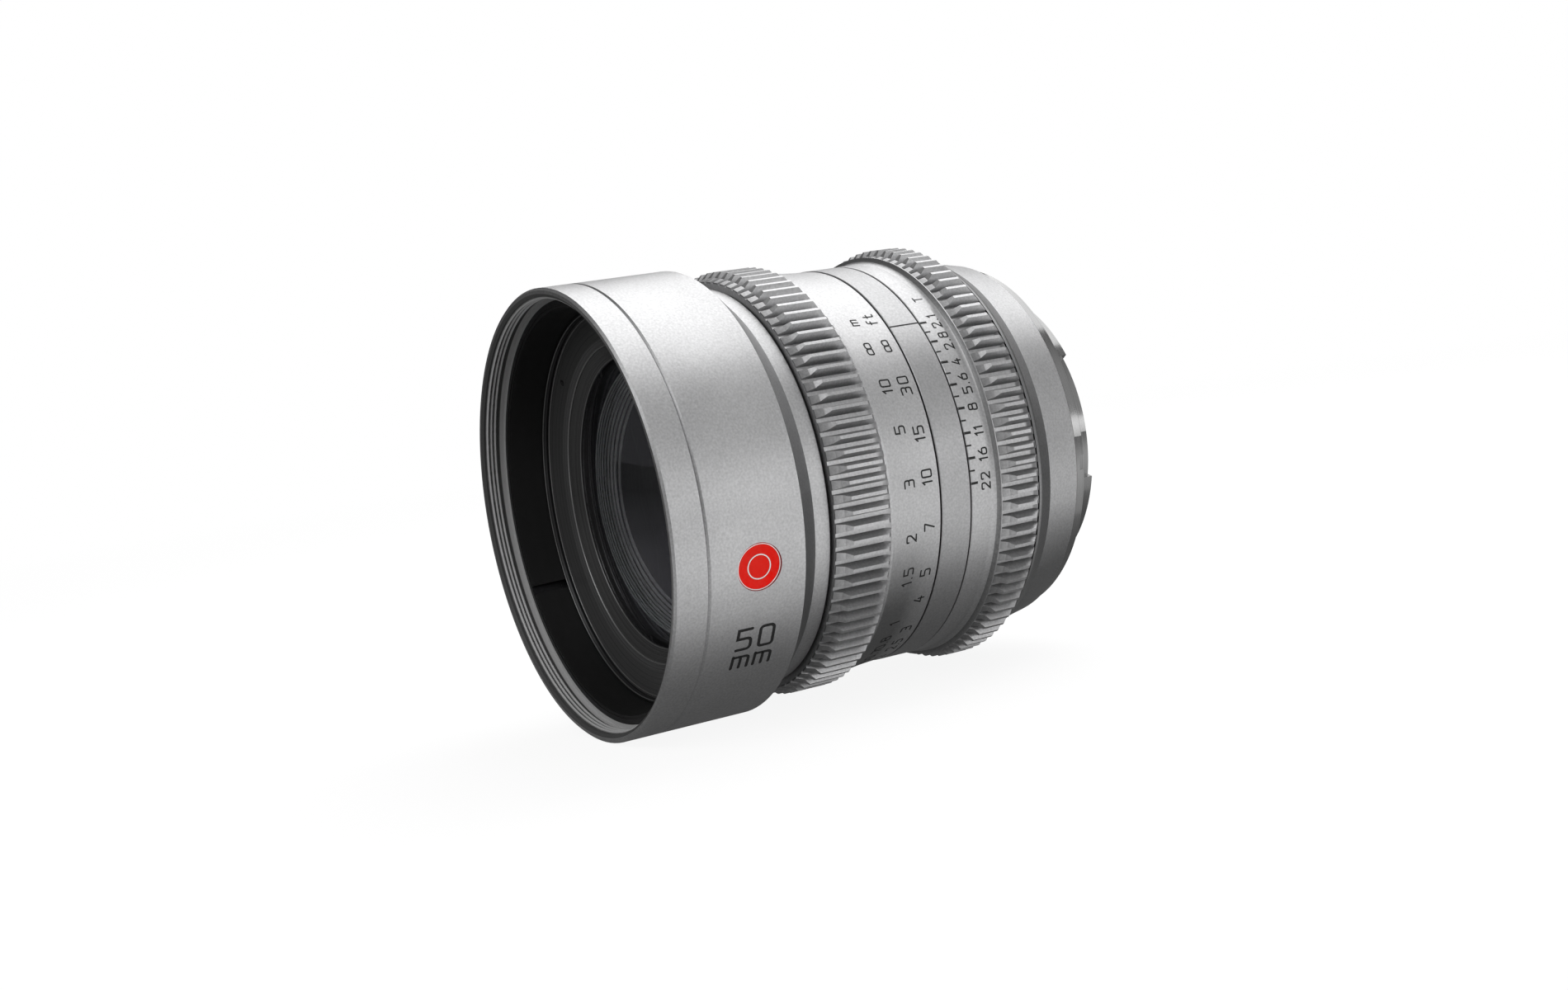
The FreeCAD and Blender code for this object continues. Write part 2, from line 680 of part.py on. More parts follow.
def cell_retainer():
    """Threaded ring that closes the front cell at the rear."""
    _, _, _, front = cell_stack()
    return spacer(CELL_BORE_R - SEAT, CELL_RETAINER_BORE_R, front - CELL_RETAINER_LENGTH, front)


def cam_slot_tool():
    """Helical slot, opened out at both ends, that leads a follower forward."""
    pitch = FOCUS_TRAVEL * FULL_TURN / FOCUS_TURN
    half_width = FOLLOWER_R + RUN
    lead = math.atan(pitch / (2 * math.pi * CAM_OUTER_R))
    rise = half_width / math.cos(lead)
    inner = CAM_BORE_R - OVERCUT
    outer = CAM_OUTER_R + OVERCUT
    section = outline([(inner, -rise), (outer, -rise), (outer, rise), (inner, rise)])
    path = Part.Wire(Part.makeHelix(pitch, FOCUS_TRAVEL, CAM_OUTER_R).Edges)
    groove = path.makePipeShell([section], True, True)
    groove = groove.mirror(ORIGIN, V(0, 1, 0))
    start = radial_pin(half_width + SLOT_RELIEF, inner, outer, 0.0)
    finish = spun(start, -FOCUS_TURN)
    finish.translate(V(0, 0, FOCUS_TRAVEL))
    tool = Part.makeCompound([groove, start, finish])
    tool.translate(V(0, 0, FOLLOWER_Z))
    return tool


def cam_dowels():
    """Axial dowels let half into the cam sleeve and half into the focus ring."""
    rear = FOCUS_REAR + CAM_REAR_MARGIN
    pin = axial_pin(CAM_DOWEL_R, rear + DOWEL_RECESS, rear + CAM_DOWEL_LENGTH, V(CAM_OUTER_R, 0, 0))
    return Part.makeCompound(round_about(pin, CAM_DOWELS, CAM_DOWEL_ANGLE))


def dowel_holes():
    """Holes for the axial dowels, open to the rear."""
    rear = FOCUS_REAR - OVERCUT
    front = FOCUS_REAR + CAM_REAR_MARGIN + CAM_DOWEL_LENGTH
    hole = axial_pin(CAM_DOWEL_R, rear, front, V(CAM_OUTER_R, 0, 0))
    return round_about(hole, CAM_DOWELS, CAM_DOWEL_ANGLE)


def cam_sleeve():
    """Sleeve inside the focus ring, with three helical slots."""
    rear = FOCUS_REAR + CAM_REAR_MARGIN
    body = spacer(CAM_OUTER_R, CAM_BORE_R, rear, FOCUS_FRONT - CAM_FRONT_MARGIN)
    tools = []
    for slot in round_about(cam_slot_tool(), FOLLOWERS, KEY_ANGLE):
        tools += slot.Solids
    return body.cut(tools + dowel_holes())


def tooth_space(front, end):
    """Gap between two teeth: a wedge whose floor curves up at the rear, as its cutter did."""
    top_r = CREST_R + OVERCUT
    half_bottom = SPACE_BOTTOM / 2
    half_top = half_bottom + (top_r - ROOT_R) * math.tan(math.radians(FLANK_ANGLE))
    section = Part.Face(Part.makePolygon([
        V(ROOT_R, -half_bottom, front),
        V(ROOT_R, half_bottom, front),
        V(top_r, half_top, front),
        V(top_r, -half_top, front),
        V(ROOT_R, -half_bottom, front),
    ]))
    wedge = section.extrude(V(0, 0, end - RUN_OUT_R - front))
    rise = RUN_OUT_R * (1 - math.sqrt(0.5))
    reach = RUN_OUT_R * math.sqrt(0.5)
    side = Part.Face(outline([
        (ROOT_R, front),
        (ROOT_R, end),
        (ROOT_R + rise, end - reach, ROOT_R + RUN_OUT_R, end - RUN_OUT_R),
        (top_r, end - RUN_OUT_R),
        (top_r, front),
    ]))
    side.translate(V(0, -half_top, 0))
    return wedge.common(side.extrude(V(0, 2 * half_top, 0)))


def cut_teeth(blank, front, end, crest_angle):
    """Ring blank with every tooth space cut out."""
    half_pitch = FULL_TURN / TEETH / 2
    return blank.cut(round_about(tooth_space(front, end), TEETH, crest_angle + half_pitch))


def focus_ring():
    """Focus ring: geared band in front, tapering scale skirt behind."""
    crest_front = FOCUS_FRONT - FOCUS_SCOOP_LENGTH
    crest_rear = crest_front - FOCUS_CREST_LENGTH
    gear_rear = crest_rear - GEAR_END_LENGTH
    skirt_front = gear_rear - FOCUS_SHOULDER_LENGTH
    skirt_r = (FOCUS_SHOULDER_R + SKIRT_R) / 2 - SKIRT_SAG
    skirt_z = (skirt_front + FOCUS_REAR) / 2
    blank = turned([
        (FOCUS_BORE_R, FOCUS_FRONT),
        (TIP_R, FOCUS_FRONT),
        (SCOOP_R, FOCUS_FRONT - FOCUS_SCOOP_LENGTH * SCOOP_SHARE),
        (CREST_R, crest_front),
        (CREST_R, crest_rear),
        (FOCUS_SHOULDER_R, gear_rear),
        (FOCUS_SHOULDER_R, skirt_front),
        (skirt_r, skirt_z, SKIRT_R, FOCUS_REAR + EDGE_CHAMFER),
        (SKIRT_R - EDGE_CHAMFER, FOCUS_REAR),
        (FOCUS_BORE_R, FOCUS_REAR),
    ])
    teeth_end = crest_rear - RUN_OUT_SETBACK
    geared = cut_teeth(blank, FOCUS_FRONT + OVERCUT, teeth_end, FOCUS_CREST_ANGLE)
    return geared.cut(dowel_holes())


def index_ring():
    """Fixed ring between the focus and iris rings, which carries the index line."""
    return turned([
        (HUB_BORE_R, INDEX_REAR),
        (SCALE_R - EDGE_CHAMFER, INDEX_REAR),
        (SCALE_R, INDEX_REAR + EDGE_CHAMFER),
        (SCALE_R, INDEX_FRONT - EDGE_CHAMFER),
        (SCALE_R - EDGE_CHAMFER, INDEX_FRONT),
        (HUB_BORE_R, INDEX_FRONT),
    ])


def iris_ring():
    """Iris ring: scale band in front, flare, geared band and plain shoulder."""
    bore = TUBE_OUTER_R + RUN
    scale_rear = IRIS_FRONT - IRIS_SCALE_LENGTH
    lip_front = scale_rear - FLARE_LENGTH
    lip_rear = lip_front - LIP_LENGTH
    teeth_front = lip_rear - LIP_GROOVE_LENGTH
    crest_front = teeth_front - IRIS_SCOOP_LENGTH
    crest_rear = crest_front - IRIS_CREST_LENGTH
    gear_rear = crest_rear - GEAR_END_LENGTH
    flare_r = (SCALE_R + FLARE_R) / 2 - FLARE_SAG
    flare_z = (scale_rear + lip_front) / 2 - FLARE_SAG
    blank = turned([
        (bore, IRIS_FRONT),
        (SCALE_R - EDGE_CHAMFER, IRIS_FRONT),
        (SCALE_R, IRIS_FRONT - EDGE_CHAMFER),
        (SCALE_R, scale_rear),
        (flare_r, flare_z, FLARE_R, lip_front),
        (FLARE_R, lip_rear),
        (LIP_GROOVE_R, lip_rear),
        (LIP_GROOVE_R, teeth_front),
        (TIP_R, teeth_front),
        (SCOOP_R, teeth_front - IRIS_SCOOP_LENGTH * SCOOP_SHARE),
        (CREST_R, crest_front),
        (CREST_R, crest_rear),
        (IRIS_SHOULDER_R, gear_rear),
        (IRIS_SHOULDER_R, IRIS_REAR),
        (bore, IRIS_REAR),
    ])
    groove = (lip_rear + teeth_front) / 2
    geared = cut_teeth(blank, groove, crest_rear - RUN_OUT_SETBACK, IRIS_CREST_ANGLE)
    pin_hole = radial_pin(DRIVE_PIN_R, bore - OVERCUT, DRIVE_PIN_TIP_R, DRIVE_PIN_Z)
    return geared.cut(round_about(pin_hole, DRIVE_PINS, DRIVE_PIN_ANGLE))


def iris_base_plate():
    """Fixed plate in front of the blades, with a hole for each pivot pin."""
    body = spacer(TUBE_INNER_R - SEAT, PLATE_BORE_R, PLATE_REAR, PLATE_FRONT)
    place = V(PIVOT_CIRCLE_R, 0, 0)
    hole = axial_pin(PIVOT_PIN_R + SEAT, PLATE_REAR - OVERCUT, PLATE_FRONT + OVERCUT, place)
    return body.cut(round_about(hole, BLADES))


def lever_pin(blade_angle):
    """Place of a blade's drive pin, for the pivot on +X."""
    turn = math.radians(LEVER_ANGLE + blade_angle)
    return V(PIVOT_CIRCLE_R + LEVER_LENGTH * math.cos(turn), LEVER_LENGTH * math.sin(turn), 0)


def blade_arm(start, end, rear):
    """Flat arm between two points, with bevelled corners round its far end."""
    along = (end - start).normalize()
    side = V(-along.y, along.x, 0)
    corner = EYE_R * EYE_CORNER
    points = [
        start + side * EYE_R,
        end + side * EYE_R,
        end + side * corner + along * EYE_R,
        end - side * corner + along * EYE_R,
        end - side * EYE_R,
        start - side * EYE_R,
        start + side * EYE_R,
    ]
    face = Part.Face(Part.makePolygon([point + V(0, 0, rear) for point in points]))
    return face.extrude(V(0, 0, BLADE_THICKNESS))


def blade_leaf(rear):
    """Curved leaf of a blade, cut square at both ends."""
    middle = (BLADE_ROOT_ANGLE + BLADE_SPAN) / 2
    outer = [polar(BLADE_OUTER_R, turn, rear) for turn in (BLADE_ROOT_ANGLE, middle, BLADE_SPAN)]
    inner = [polar(BLADE_INNER_R, turn, rear) for turn in (BLADE_SPAN, middle, BLADE_ROOT_ANGLE)]
    edges = [
        Part.Arc(*outer).toShape(),
        Part.makeLine(outer[-1], inner[0]),
        Part.Arc(*inner).toShape(),
        Part.makeLine(inner[-1], outer[0]),
    ]
    return Part.Face(Part.Wire(edges)).extrude(V(0, 0, BLADE_THICKNESS))


def iris_blade(index):
    """Iris blade with its pivot pin to the front and its drive pin to the rear."""
    rear = BLADE_TOP - index * BLADE_PITCH - BLADE_THICKNESS
    front = rear + BLADE_THICKNESS
    pivot = V(PIVOT_CIRCLE_R, 0, 0)
    root = V((BLADE_INNER_R + BLADE_OUTER_R) / 2, 0, 0)
    lever = lever_pin(0.0)
    leaf = blade_leaf(rear)
    neck = blade_arm(root, pivot, rear)
    arm = blade_arm(pivot, lever, rear)
    pivot_pin = axial_pin(PIVOT_PIN_R, rear, PLATE_REAR + PIN_GRIP, pivot)
    drive_pin = axial_pin(PIVOT_PIN_R, ACTUATOR_FRONT - PIN_GRIP, front, lever)
    body = leaf.multiFuse([neck, arm, pivot_pin, drive_pin]).removeSplitter()
    return spun(body, FULL_TURN * index / BLADES)


def drive_pin_place(progress):
    """Where a blade's drive pin stands on the actuator, for a share of the closing travel."""
    pin = lever_pin(BLADE_TURN * progress)
    turn = math.radians(IRIS_TURN * progress)
    x = pin.x * math.cos(turn) + pin.y * math.sin(turn)
    y = pin.y * math.cos(turn) - pin.x * math.sin(turn)
    return V(x, y, 0)


def cam_track(progress, side):
    """Edge point of an actuator slot for a share of the closing travel."""
    here = drive_pin_place(progress)
    ahead = drive_pin_place(progress + TRACK_STEP)
    along = (ahead - here).normalize()
    return here + V(-along.y, along.x, 0) * side * (PIVOT_PIN_R + RUN)


def cam_track_tool():
    """Cutter for one actuator slot, which follows the drive pin of a closing blade."""
    outer = Part.Arc(*[cam_track(share, 1) for share in (0, 0.5, 1)]).toShape()
    inner = Part.Arc(*[cam_track(share, -1) for share in (1, 0.5, 0)]).toShape()
    far_end = Part.Arc(cam_track(1, 1), track_end(1, 1), cam_track(1, -1)).toShape()
    near_end = Part.Arc(cam_track(0, -1), track_end(0, -1), cam_track(0, 1)).toShape()
    face = Part.Face(Part.Wire([outer, far_end, inner, near_end]))
    tool = face.extrude(V(0, 0, ACTUATOR_WEB + 2 * OVERCUT))
    tool.translate(V(0, 0, ACTUATOR_FRONT - ACTUATOR_WEB - OVERCUT))
    return tool


def track_end(share, direction):
    """Middle of the round end of an actuator slot."""
    left = cam_track(share, 1)
    right = cam_track(share, -1)
    across = (left - right).normalize()
    middle = (left + right) * 0.5
    return middle + V(across.y, -across.x, 0) * direction * (PIVOT_PIN_R + RUN)


def iris_actuator():
    """Turning ring behind the blades, with nine curved slots and a skirt for the pins."""
    outer = TUBE_INNER_R - ACTUATOR_CLEARANCE
    web_rear = ACTUATOR_FRONT - ACTUATOR_WEB
    body = turned([
        (ACTUATOR_BORE_R, ACTUATOR_FRONT),
        (outer, ACTUATOR_FRONT),
        (outer, ACTUATOR_REAR),
        (ACTUATOR_SKIRT_R, ACTUATOR_REAR),
        (ACTUATOR_SKIRT_R, web_rear),
        (ACTUATOR_BORE_R, web_rear),
    ])
    pin_hole = radial_pin(DRIVE_PIN_R, ACTUATOR_SKIRT_R - OVERCUT, outer + OVERCUT, DRIVE_PIN_Z)
    tools = round_about(cam_track_tool(), BLADES)
    tools += round_about(pin_hole, DRIVE_PINS, DRIVE_PIN_ANGLE)
    return body.cut(tools)


def iris_drive_pins():
    """Two radial pins that join the iris ring to the actuator through the tube."""
    pin = radial_pin(DRIVE_PIN_R, ACTUATOR_SKIRT_R, DRIVE_PIN_TIP_R, DRIVE_PIN_Z)
    return Part.makeCompound(round_about(pin, DRIVE_PINS, DRIVE_PIN_ANGLE))


def iris_retaining_ring():
    """Threaded ring that keeps the actuator in the tube."""
    rear = IRIS_RETAINER_FRONT - IRIS_RETAINER_LENGTH
    return spacer(TUBE_INNER_R - SEAT, IRIS_RETAINER_BORE_R, rear, IRIS_RETAINER_FRONT)


def rear_cell():
    """Barrel of the rear optical group, fixed in the central tube."""
    lip_rear = REAR_CELL_FRONT - REAR_GLASS_SETBACK
    return turned([
        (REAR_CLEAR_R, REAR_CELL_FRONT),
        (TUBE_INNER_R - SEAT, REAR_CELL_FRONT),
        (TUBE_INNER_R - SEAT, REAR_CELL_SHOULDER),
        (REAR_CELL_WAIST_R, REAR_CELL_SHOULDER),
        (REAR_CELL_WAIST_R, REAR_CELL_STEP),
        (REAR_CELL_TAIL_R, REAR_CELL_STEP),
        (REAR_CELL_TAIL_R, REAR_CELL_REAR),
        (REAR_BORE_R, REAR_CELL_REAR),
        (REAR_BORE_R, lip_rear),
        (REAR_CLEAR_R, lip_rear),
    ])


def rear_stack():
    """Heights of the edges of the rear glasses, from front to rear."""
    heights = [REAR_CELL_FRONT - REAR_GLASS_SETBACK]
    lengths = (
        FOURTH_GLASS_EDGE,
        FIRST_REAR_SPACER_LENGTH,
        FIFTH_GLASS_EDGE,
        SECOND_REAR_SPACER_LENGTH,
        REAR_GLASS_EDGE,
    )
    for length in lengths:
        heights.append(heights[-1] - length)
    return heights


def rear_glass(first, front_bow, rear_bow):
    """Glass of the rear group between two neighbouring heights of its stack."""
    heights = rear_stack()
    radius = REAR_BORE_R - SEAT
    return glass(heights[first], heights[first + 1], radius, REAR_CLEAR_R, front_bow, rear_bow)


def rear_spacer(first):
    """Ring of the rear group between two neighbouring heights of its stack."""
    heights = rear_stack()
    return spacer(REAR_BORE_R - SEAT, REAR_CLEAR_R, heights[first + 1], heights[first])


def rear_retainer():
    """Threaded ring that holds the rear glass."""
    front = rear_stack()[-1]
    return spacer(REAR_BORE_R - SEAT, REAR_CLEAR_R, REAR_CELL_REAR, front)


def screw_holes(radius, rear, front):
    """Straight holes on the circle of the mount screws."""
    hole = axial_pin(radius, rear, front, V(MOUNT_SCREW_CIRCLE_R, 0, 0))
    return round_about(hole, MOUNT_SCREWS, MOUNT_SCREW_ANGLE)


def screw_blank(head_r, shank_r, length):
    """Countersunk screw with its head flush with the flange plane."""
    body = turned([
        (0.0, 0.0),
        (head_r, 0.0),
        (shank_r, SCREW_HEAD_HEIGHT),
        (shank_r, length),
        (0.0, length),
    ])
    body.translate(V(MOUNT_SCREW_CIRCLE_R, 0, 0))
    return body


def mount_screws():
    """Countersunk screws through the flange into the rear barrel."""
    screw = screw_blank(SCREW_HEAD_R, SCREW_SHANK_R, SCREW_LENGTH)
    return Part.makeCompound(round_about(screw, MOUNT_SCREWS, MOUNT_SCREW_ANGLE))


def rear_barrel():
    """Rear barrel: bevelled shoulder, slow taper and the lip that takes the mount."""
    land_rear = REAR_BARREL_FRONT - REAR_SHOULDER_LENGTH
    cone_front = land_rear - REAR_BEVEL_LENGTH
    body = turned([
        (HUB_BORE_R, REAR_BARREL_FRONT),
        (REAR_SHOULDER_R, REAR_BARREL_FRONT),
        (REAR_SHOULDER_R - REAR_SHOULDER_DROP, land_rear),
        (REAR_CONE_FRONT_R, cone_front),
        (REAR_CONE_REAR_R, REAR_BARREL_REAR + REAR_EDGE_CHAMFER),
        (REAR_CONE_REAR_R - REAR_EDGE_CHAMFER, REAR_BARREL_REAR),
        (REAR_LIP_BORE_R, REAR_BARREL_REAR),
        (REAR_LIP_BORE_R, TUBE_REAR),
        (HUB_BORE_R, TUBE_REAR),
    ])
    return body.cut(screw_holes(SCREW_SHANK_R, REAR_BARREL_REAR - OVERCUT, SCREW_LENGTH))


def mount_shim():
    """Thin ring that sets the flange distance."""
    return spacer(SHIM_R, SHIM_BORE_R, SHIM_REAR, REAR_BARREL_REAR)


def bayonet_ring():
    """Steel mount: flange with a locking notch, spigot and three lugs."""
    body = turned([
        (BAYONET_BORE_R, SHIM_REAR),
        (FLANGE_R - EDGE_CHAMFER, SHIM_REAR),
        (FLANGE_R, SHIM_REAR - EDGE_CHAMFER),
        (FLANGE_R, EDGE_CHAMFER),
        (FLANGE_R - EDGE_CHAMFER, 0.0),
        (SPIGOT_R, 0.0),
        (SPIGOT_R, -BAYONET_DEPTH),
        (BAYONET_BORE_R, -BAYONET_DEPTH),
    ])
    lug_rear = LUG_SETBACK - BAYONET_DEPTH
    lug = turned([
        (BAYONET_BORE_R, lug_rear),
        (LUG_R, lug_rear),
        (LUG_R, lug_rear + LUG_THICKNESS),
        (BAYONET_BORE_R, lug_rear + LUG_THICKNESS),
    ], LUG_SPAN)
    body = body.multiFuse(round_about(lug, LUGS, LUG_ANGLE - LUG_SPAN / 2))
    notch = block(NOTCH_FLOOR_R, FLANGE_R + OVERCUT, NOTCH_WIDTH, -OVERCUT, NOTCH_DEPTH)
    screw = screw_blank(SCREW_HEAD_R, SCREW_SHANK_R, SCREW_LENGTH)
    tools = round_about(screw, MOUNT_SCREWS, MOUNT_SCREW_ANGLE)
    return body.cut(tools + [spun(notch, NOTCH_ANGLE)])


def rear_light_trap():
    """Blackened ring inside the mount, flared at its mouth."""
    rear = -TRAP_DEPTH
    return turned([
        (TRAP_R, rear),
        (TRAP_R, rear + TRAP_LENGTH),
        (TRAP_R - TRAP_WALL, rear + TRAP_LENGTH),
        (TRAP_R - TRAP_WALL, rear + TRAP_LENGTH / 2),
        (TRAP_R - TRAP_MOUTH_WALL, rear),
    ])


PIECES = {
    "front_ring": front_ring(),
    "front_barrel": front_barrel(),
    "badge_inlay": badge_inlay(),
    "inner_sleeve": inner_sleeve(),
    "main_tube": main_tube(),
    "index_ring": index_ring(),
    "iris_base_plate": iris_base_plate(),
    "iris_retaining_ring": iris_retaining_ring(),
    "rear_cell": rear_cell(),
    "fourth_element": rear_glass(0, FOURTH_GLASS_BOW, FOURTH_GLASS_REAR_BOW),
    "rear_spacer_front": rear_spacer(1),
    "fifth_element": rear_glass(2, FIFTH_GLASS_BOW, FIFTH_GLASS_REAR_BOW),
    "rear_spacer_back": rear_spacer(3),
    "rear_element": rear_glass(4, REAR_GLASS_BOW, REAR_GLASS_REAR_BOW),
    "rear_retainer": rear_retainer(),
    "rear_barrel": rear_barrel(),
    "mount_shim": mount_shim(),
    "bayonet_ring": bayonet_ring(),
    "mount_screws": mount_screws(),
    "rear_light_trap": rear_light_trap(),
    "focus_ring": focus_ring(),
    "cam_sleeve": cam_sleeve(),
    "cam_dowels": cam_dowels(),
    "front_cell": front_cell(),
    "guide_key": guide_key(),
    "cam_followers": cam_followers(),
    "cover_ring": cover_ring(),
    "front_retainer": front_retainer(),
    "front_element": front_element(),
    "baffle_spacer": baffle_spacer(),
    "second_element": second_element(),
    "cell_spacer": cell_spacer(),
    "third_element": third_element(),
    "cell_retainer": cell_retainer(),
    "iris_ring": iris_ring(),
    "iris_actuator": iris_actuator(),
    "iris_drive_pins": iris_drive_pins(),
}
for number in range(BLADES):
    PIECES["iris_blade_" + str(number + 1)] = iris_blade(number)

os.makedirs("parts", exist_ok=True)
for name, shape in PIECES.items():
    laid_down = shape.copy()
    laid_down.rotate(ORIGIN, V(1, 0, 0), FULL_TURN / 4)
    laid_down.exportStep("parts/" + name + ".step")
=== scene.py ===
import math

import bmesh
import bpy
from mathutils import Matrix, Vector
from mathutils.bvhtree import BVHTree


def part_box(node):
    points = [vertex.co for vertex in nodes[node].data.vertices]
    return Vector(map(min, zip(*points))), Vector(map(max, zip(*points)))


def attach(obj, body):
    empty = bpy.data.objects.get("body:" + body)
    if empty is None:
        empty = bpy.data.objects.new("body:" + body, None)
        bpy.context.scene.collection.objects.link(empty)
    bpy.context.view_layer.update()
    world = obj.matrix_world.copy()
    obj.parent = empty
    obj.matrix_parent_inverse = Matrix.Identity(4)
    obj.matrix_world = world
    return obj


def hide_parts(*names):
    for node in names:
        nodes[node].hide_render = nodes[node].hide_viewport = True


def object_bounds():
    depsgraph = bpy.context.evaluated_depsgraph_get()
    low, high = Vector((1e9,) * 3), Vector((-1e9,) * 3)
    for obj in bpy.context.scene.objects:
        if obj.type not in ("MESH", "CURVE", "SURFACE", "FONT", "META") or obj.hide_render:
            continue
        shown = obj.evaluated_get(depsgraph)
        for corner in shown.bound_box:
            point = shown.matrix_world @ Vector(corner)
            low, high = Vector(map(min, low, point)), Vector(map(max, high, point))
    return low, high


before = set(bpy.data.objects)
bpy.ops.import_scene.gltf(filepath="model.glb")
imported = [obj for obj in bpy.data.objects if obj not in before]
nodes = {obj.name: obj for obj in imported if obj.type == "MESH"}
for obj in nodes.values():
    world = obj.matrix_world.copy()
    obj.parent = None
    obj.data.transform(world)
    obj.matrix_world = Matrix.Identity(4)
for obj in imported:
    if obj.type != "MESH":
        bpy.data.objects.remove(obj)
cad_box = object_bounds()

# The optical axis is Y: the front of the lens looks along -Y and Z is up. Places on the
# lens are given as in the workshop: r is the radius from the axis and s the distance
# behind the front rim, both in millimetres, and phi is an angle in degrees that turns
# from +X towards +Z. Marks are placed by theta, which is 180 degrees minus phi.
MM = 0.001
RIM = -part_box("front_ring")[0].y / MM
FULL_TURN = 2 * math.pi


def place(r, s, phi):
    """Point on the lens, in metres."""
    a = math.radians(phi)
    return Vector((r * math.cos(a), s - RIM, r * math.sin(a))) * MM


def on_axis(s):
    """Y coordinate in metres of a distance behind the front rim."""
    return (s - RIM) * MM


def turns(steps):
    """Angles that divide a full turn evenly."""
    return [FULL_TURN * k / steps for k in range(steps)]


# ---------------------------------------------------------------- camera

# Solved from the photograph, in millimetres and directions of the lens.
CAMERA_PLACE = (340.778, -228.353, 28.179)
CAMERA_RIGHT = (0.480982, 0.864206, -0.147664)
CAMERA_AHEAD = (-0.87673, 0.474111, -0.08101)
SENSOR_WIDTH = 36.0
FOCAL_LENGTH = 48.693
CLIP_NEAR, CLIP_FAR = 0.01, 50.0


def photo_camera():
    """Camera that stands where the photograph's stood."""
    data = bpy.data.cameras.new("camera")
    data.sensor_fit = "HORIZONTAL"
    data.sensor_width = SENSOR_WIDTH
    data.lens = FOCAL_LENGTH
    data.clip_start = CLIP_NEAR
    data.clip_end = CLIP_FAR
    cam = bpy.data.objects.new("camera", data)
    right = Vector(CAMERA_RIGHT).normalized()
    ahead = Vector(CAMERA_AHEAD).normalized()
    right = (right - ahead * right.dot(ahead)).normalized()
    turn = Matrix((right, right.cross(ahead), -ahead)).transposed()
    cam.matrix_world = Matrix.Translation(Vector(CAMERA_PLACE) * MM) @ turn.to_4x4()
    bpy.context.collection.objects.link(cam)
    bpy.context.scene.camera = cam


# ---------------------------------------------------------------- shader helpers

# Noise seldom leaves this range, so colours and values are spread over it.
NOISE_LOW, NOISE_HIGH = 0.3, 0.7


def new_material(name):
    m = bpy.data.materials.new(name)
    m.use_nodes = True
    tree = m.node_tree
    return m, tree, tree.nodes["Principled BSDF"]


def add(tree, kind, **settings):
    """New node, with its inputs or properties set by name."""
    node = tree.nodes.new(kind)
    for key, value in settings.items():
        if key in node.inputs:
            node.inputs[key].default_value = value
        else:
            setattr(node, key, value)
    return node


def object_coords(tree):
    """Object coordinates, which are metres of the lens."""
    return add(tree, "ShaderNodeTexCoord").outputs["Object"]


def noise(tree, vector, scale, detail=2.0):
    node = add(tree, "ShaderNodeTexNoise", Scale=scale, Detail=detail)
    tree.links.new(vector, node.inputs["Vector"])
    return node.outputs["Fac"]


def remap(tree, value, low, high, start=NOISE_LOW, end=NOISE_HIGH):
    """Value that runs from low to high as another goes from start to end."""
    node = add(tree, "ShaderNodeMapRange")
    node.inputs["From Min"].default_value = start
    node.inputs["From Max"].default_value = end
    node.inputs["To Min"].default_value = low
    node.inputs["To Max"].default_value = high
    tree.links.new(value, node.inputs["Value"])
    return node.outputs["Result"]


def tint(tree, value, dark, light, start=NOISE_LOW, end=NOISE_HIGH):
    """Colour that runs from dark to light as a value goes from start to end."""
    node = add(tree, "ShaderNodeValToRGB")
    for stop, position, colour in zip(node.color_ramp.elements, (start, end), (dark, light)):
        stop.position = position
        stop.color = (*colour, 1.0)
    tree.links.new(value, node.inputs["Fac"])
    return node.outputs["Color"]


def combine(tree, operation, first, second):
    """One step of arithmetic on a value and a second value or number."""
    node = add(tree, "ShaderNodeMath", operation=operation)
    tree.links.new(first, node.inputs[0])
    if isinstance(second, float):
        node.inputs[1].default_value = second
    else:
        tree.links.new(second, node.inputs[1])
    return node.outputs[0]


def zone(tree, factor, inner, outer):
    """Mix of an inner colour or socket and an outer one."""
    node = add(tree, "ShaderNodeMix", data_type="RGBA")
    tree.links.new(factor, node.inputs[0])
    for end, socket in ((inner, node.inputs[6]), (outer, node.inputs[7])):
        if isinstance(end, tuple):
            socket.default_value = (*end, 1.0)
        else:
            tree.links.new(end, socket)
    return node.outputs[2]


def bump(tree, shader, height, depth, strength):
    node = add(tree, "ShaderNodeBump", Strength=strength, Distance=depth)
    tree.links.new(height, node.inputs["Height"])
    tree.links.new(node.outputs["Normal"], shader.inputs["Normal"])


def axis_radius(tree, vector):
    """Distance from the optical axis, and place along it."""
    parts = add(tree, "ShaderNodeSeparateXYZ")
    tree.links.new(vector, parts.inputs["Vector"])
    flat = add(tree, "ShaderNodeCombineXYZ")
    tree.links.new(parts.outputs["X"], flat.inputs["X"])
    tree.links.new(parts.outputs["Z"], flat.inputs["Z"])
    size = add(tree, "ShaderNodeVectorMath", operation="LENGTH")
    tree.links.new(flat.outputs["Vector"], size.inputs[0])
    return size.outputs["Value"], parts.outputs["Y"]


def grey(level):
    return (level, level, level)


# ---------------------------------------------------------------- blasted metal

GRAIN_SCALE = 5200.0
GRAIN_DEPTH = 0.00002
GRAIN_STRENGTH = 0.6
GRAIN_ROUGHNESS = 0.05
CLOUD_SCALE, CLOUD_DETAIL, CLOUD_SHARE = 55.0, 3.0, 0.4
SPARKLE_SCALE, SPARKLE_DETAIL, SPARKLE_SHARE = 2600.0, 1.0, 0.6

SILVER_DARK = (0.44, 0.44, 0.445)
SILVER_LIGHT = (0.61, 0.61, 0.615)
SILVER_METALLIC = 1.0
SILVER_ROUGH = 0.44
BORE_BLACK = (0.012, 0.012, 0.013)

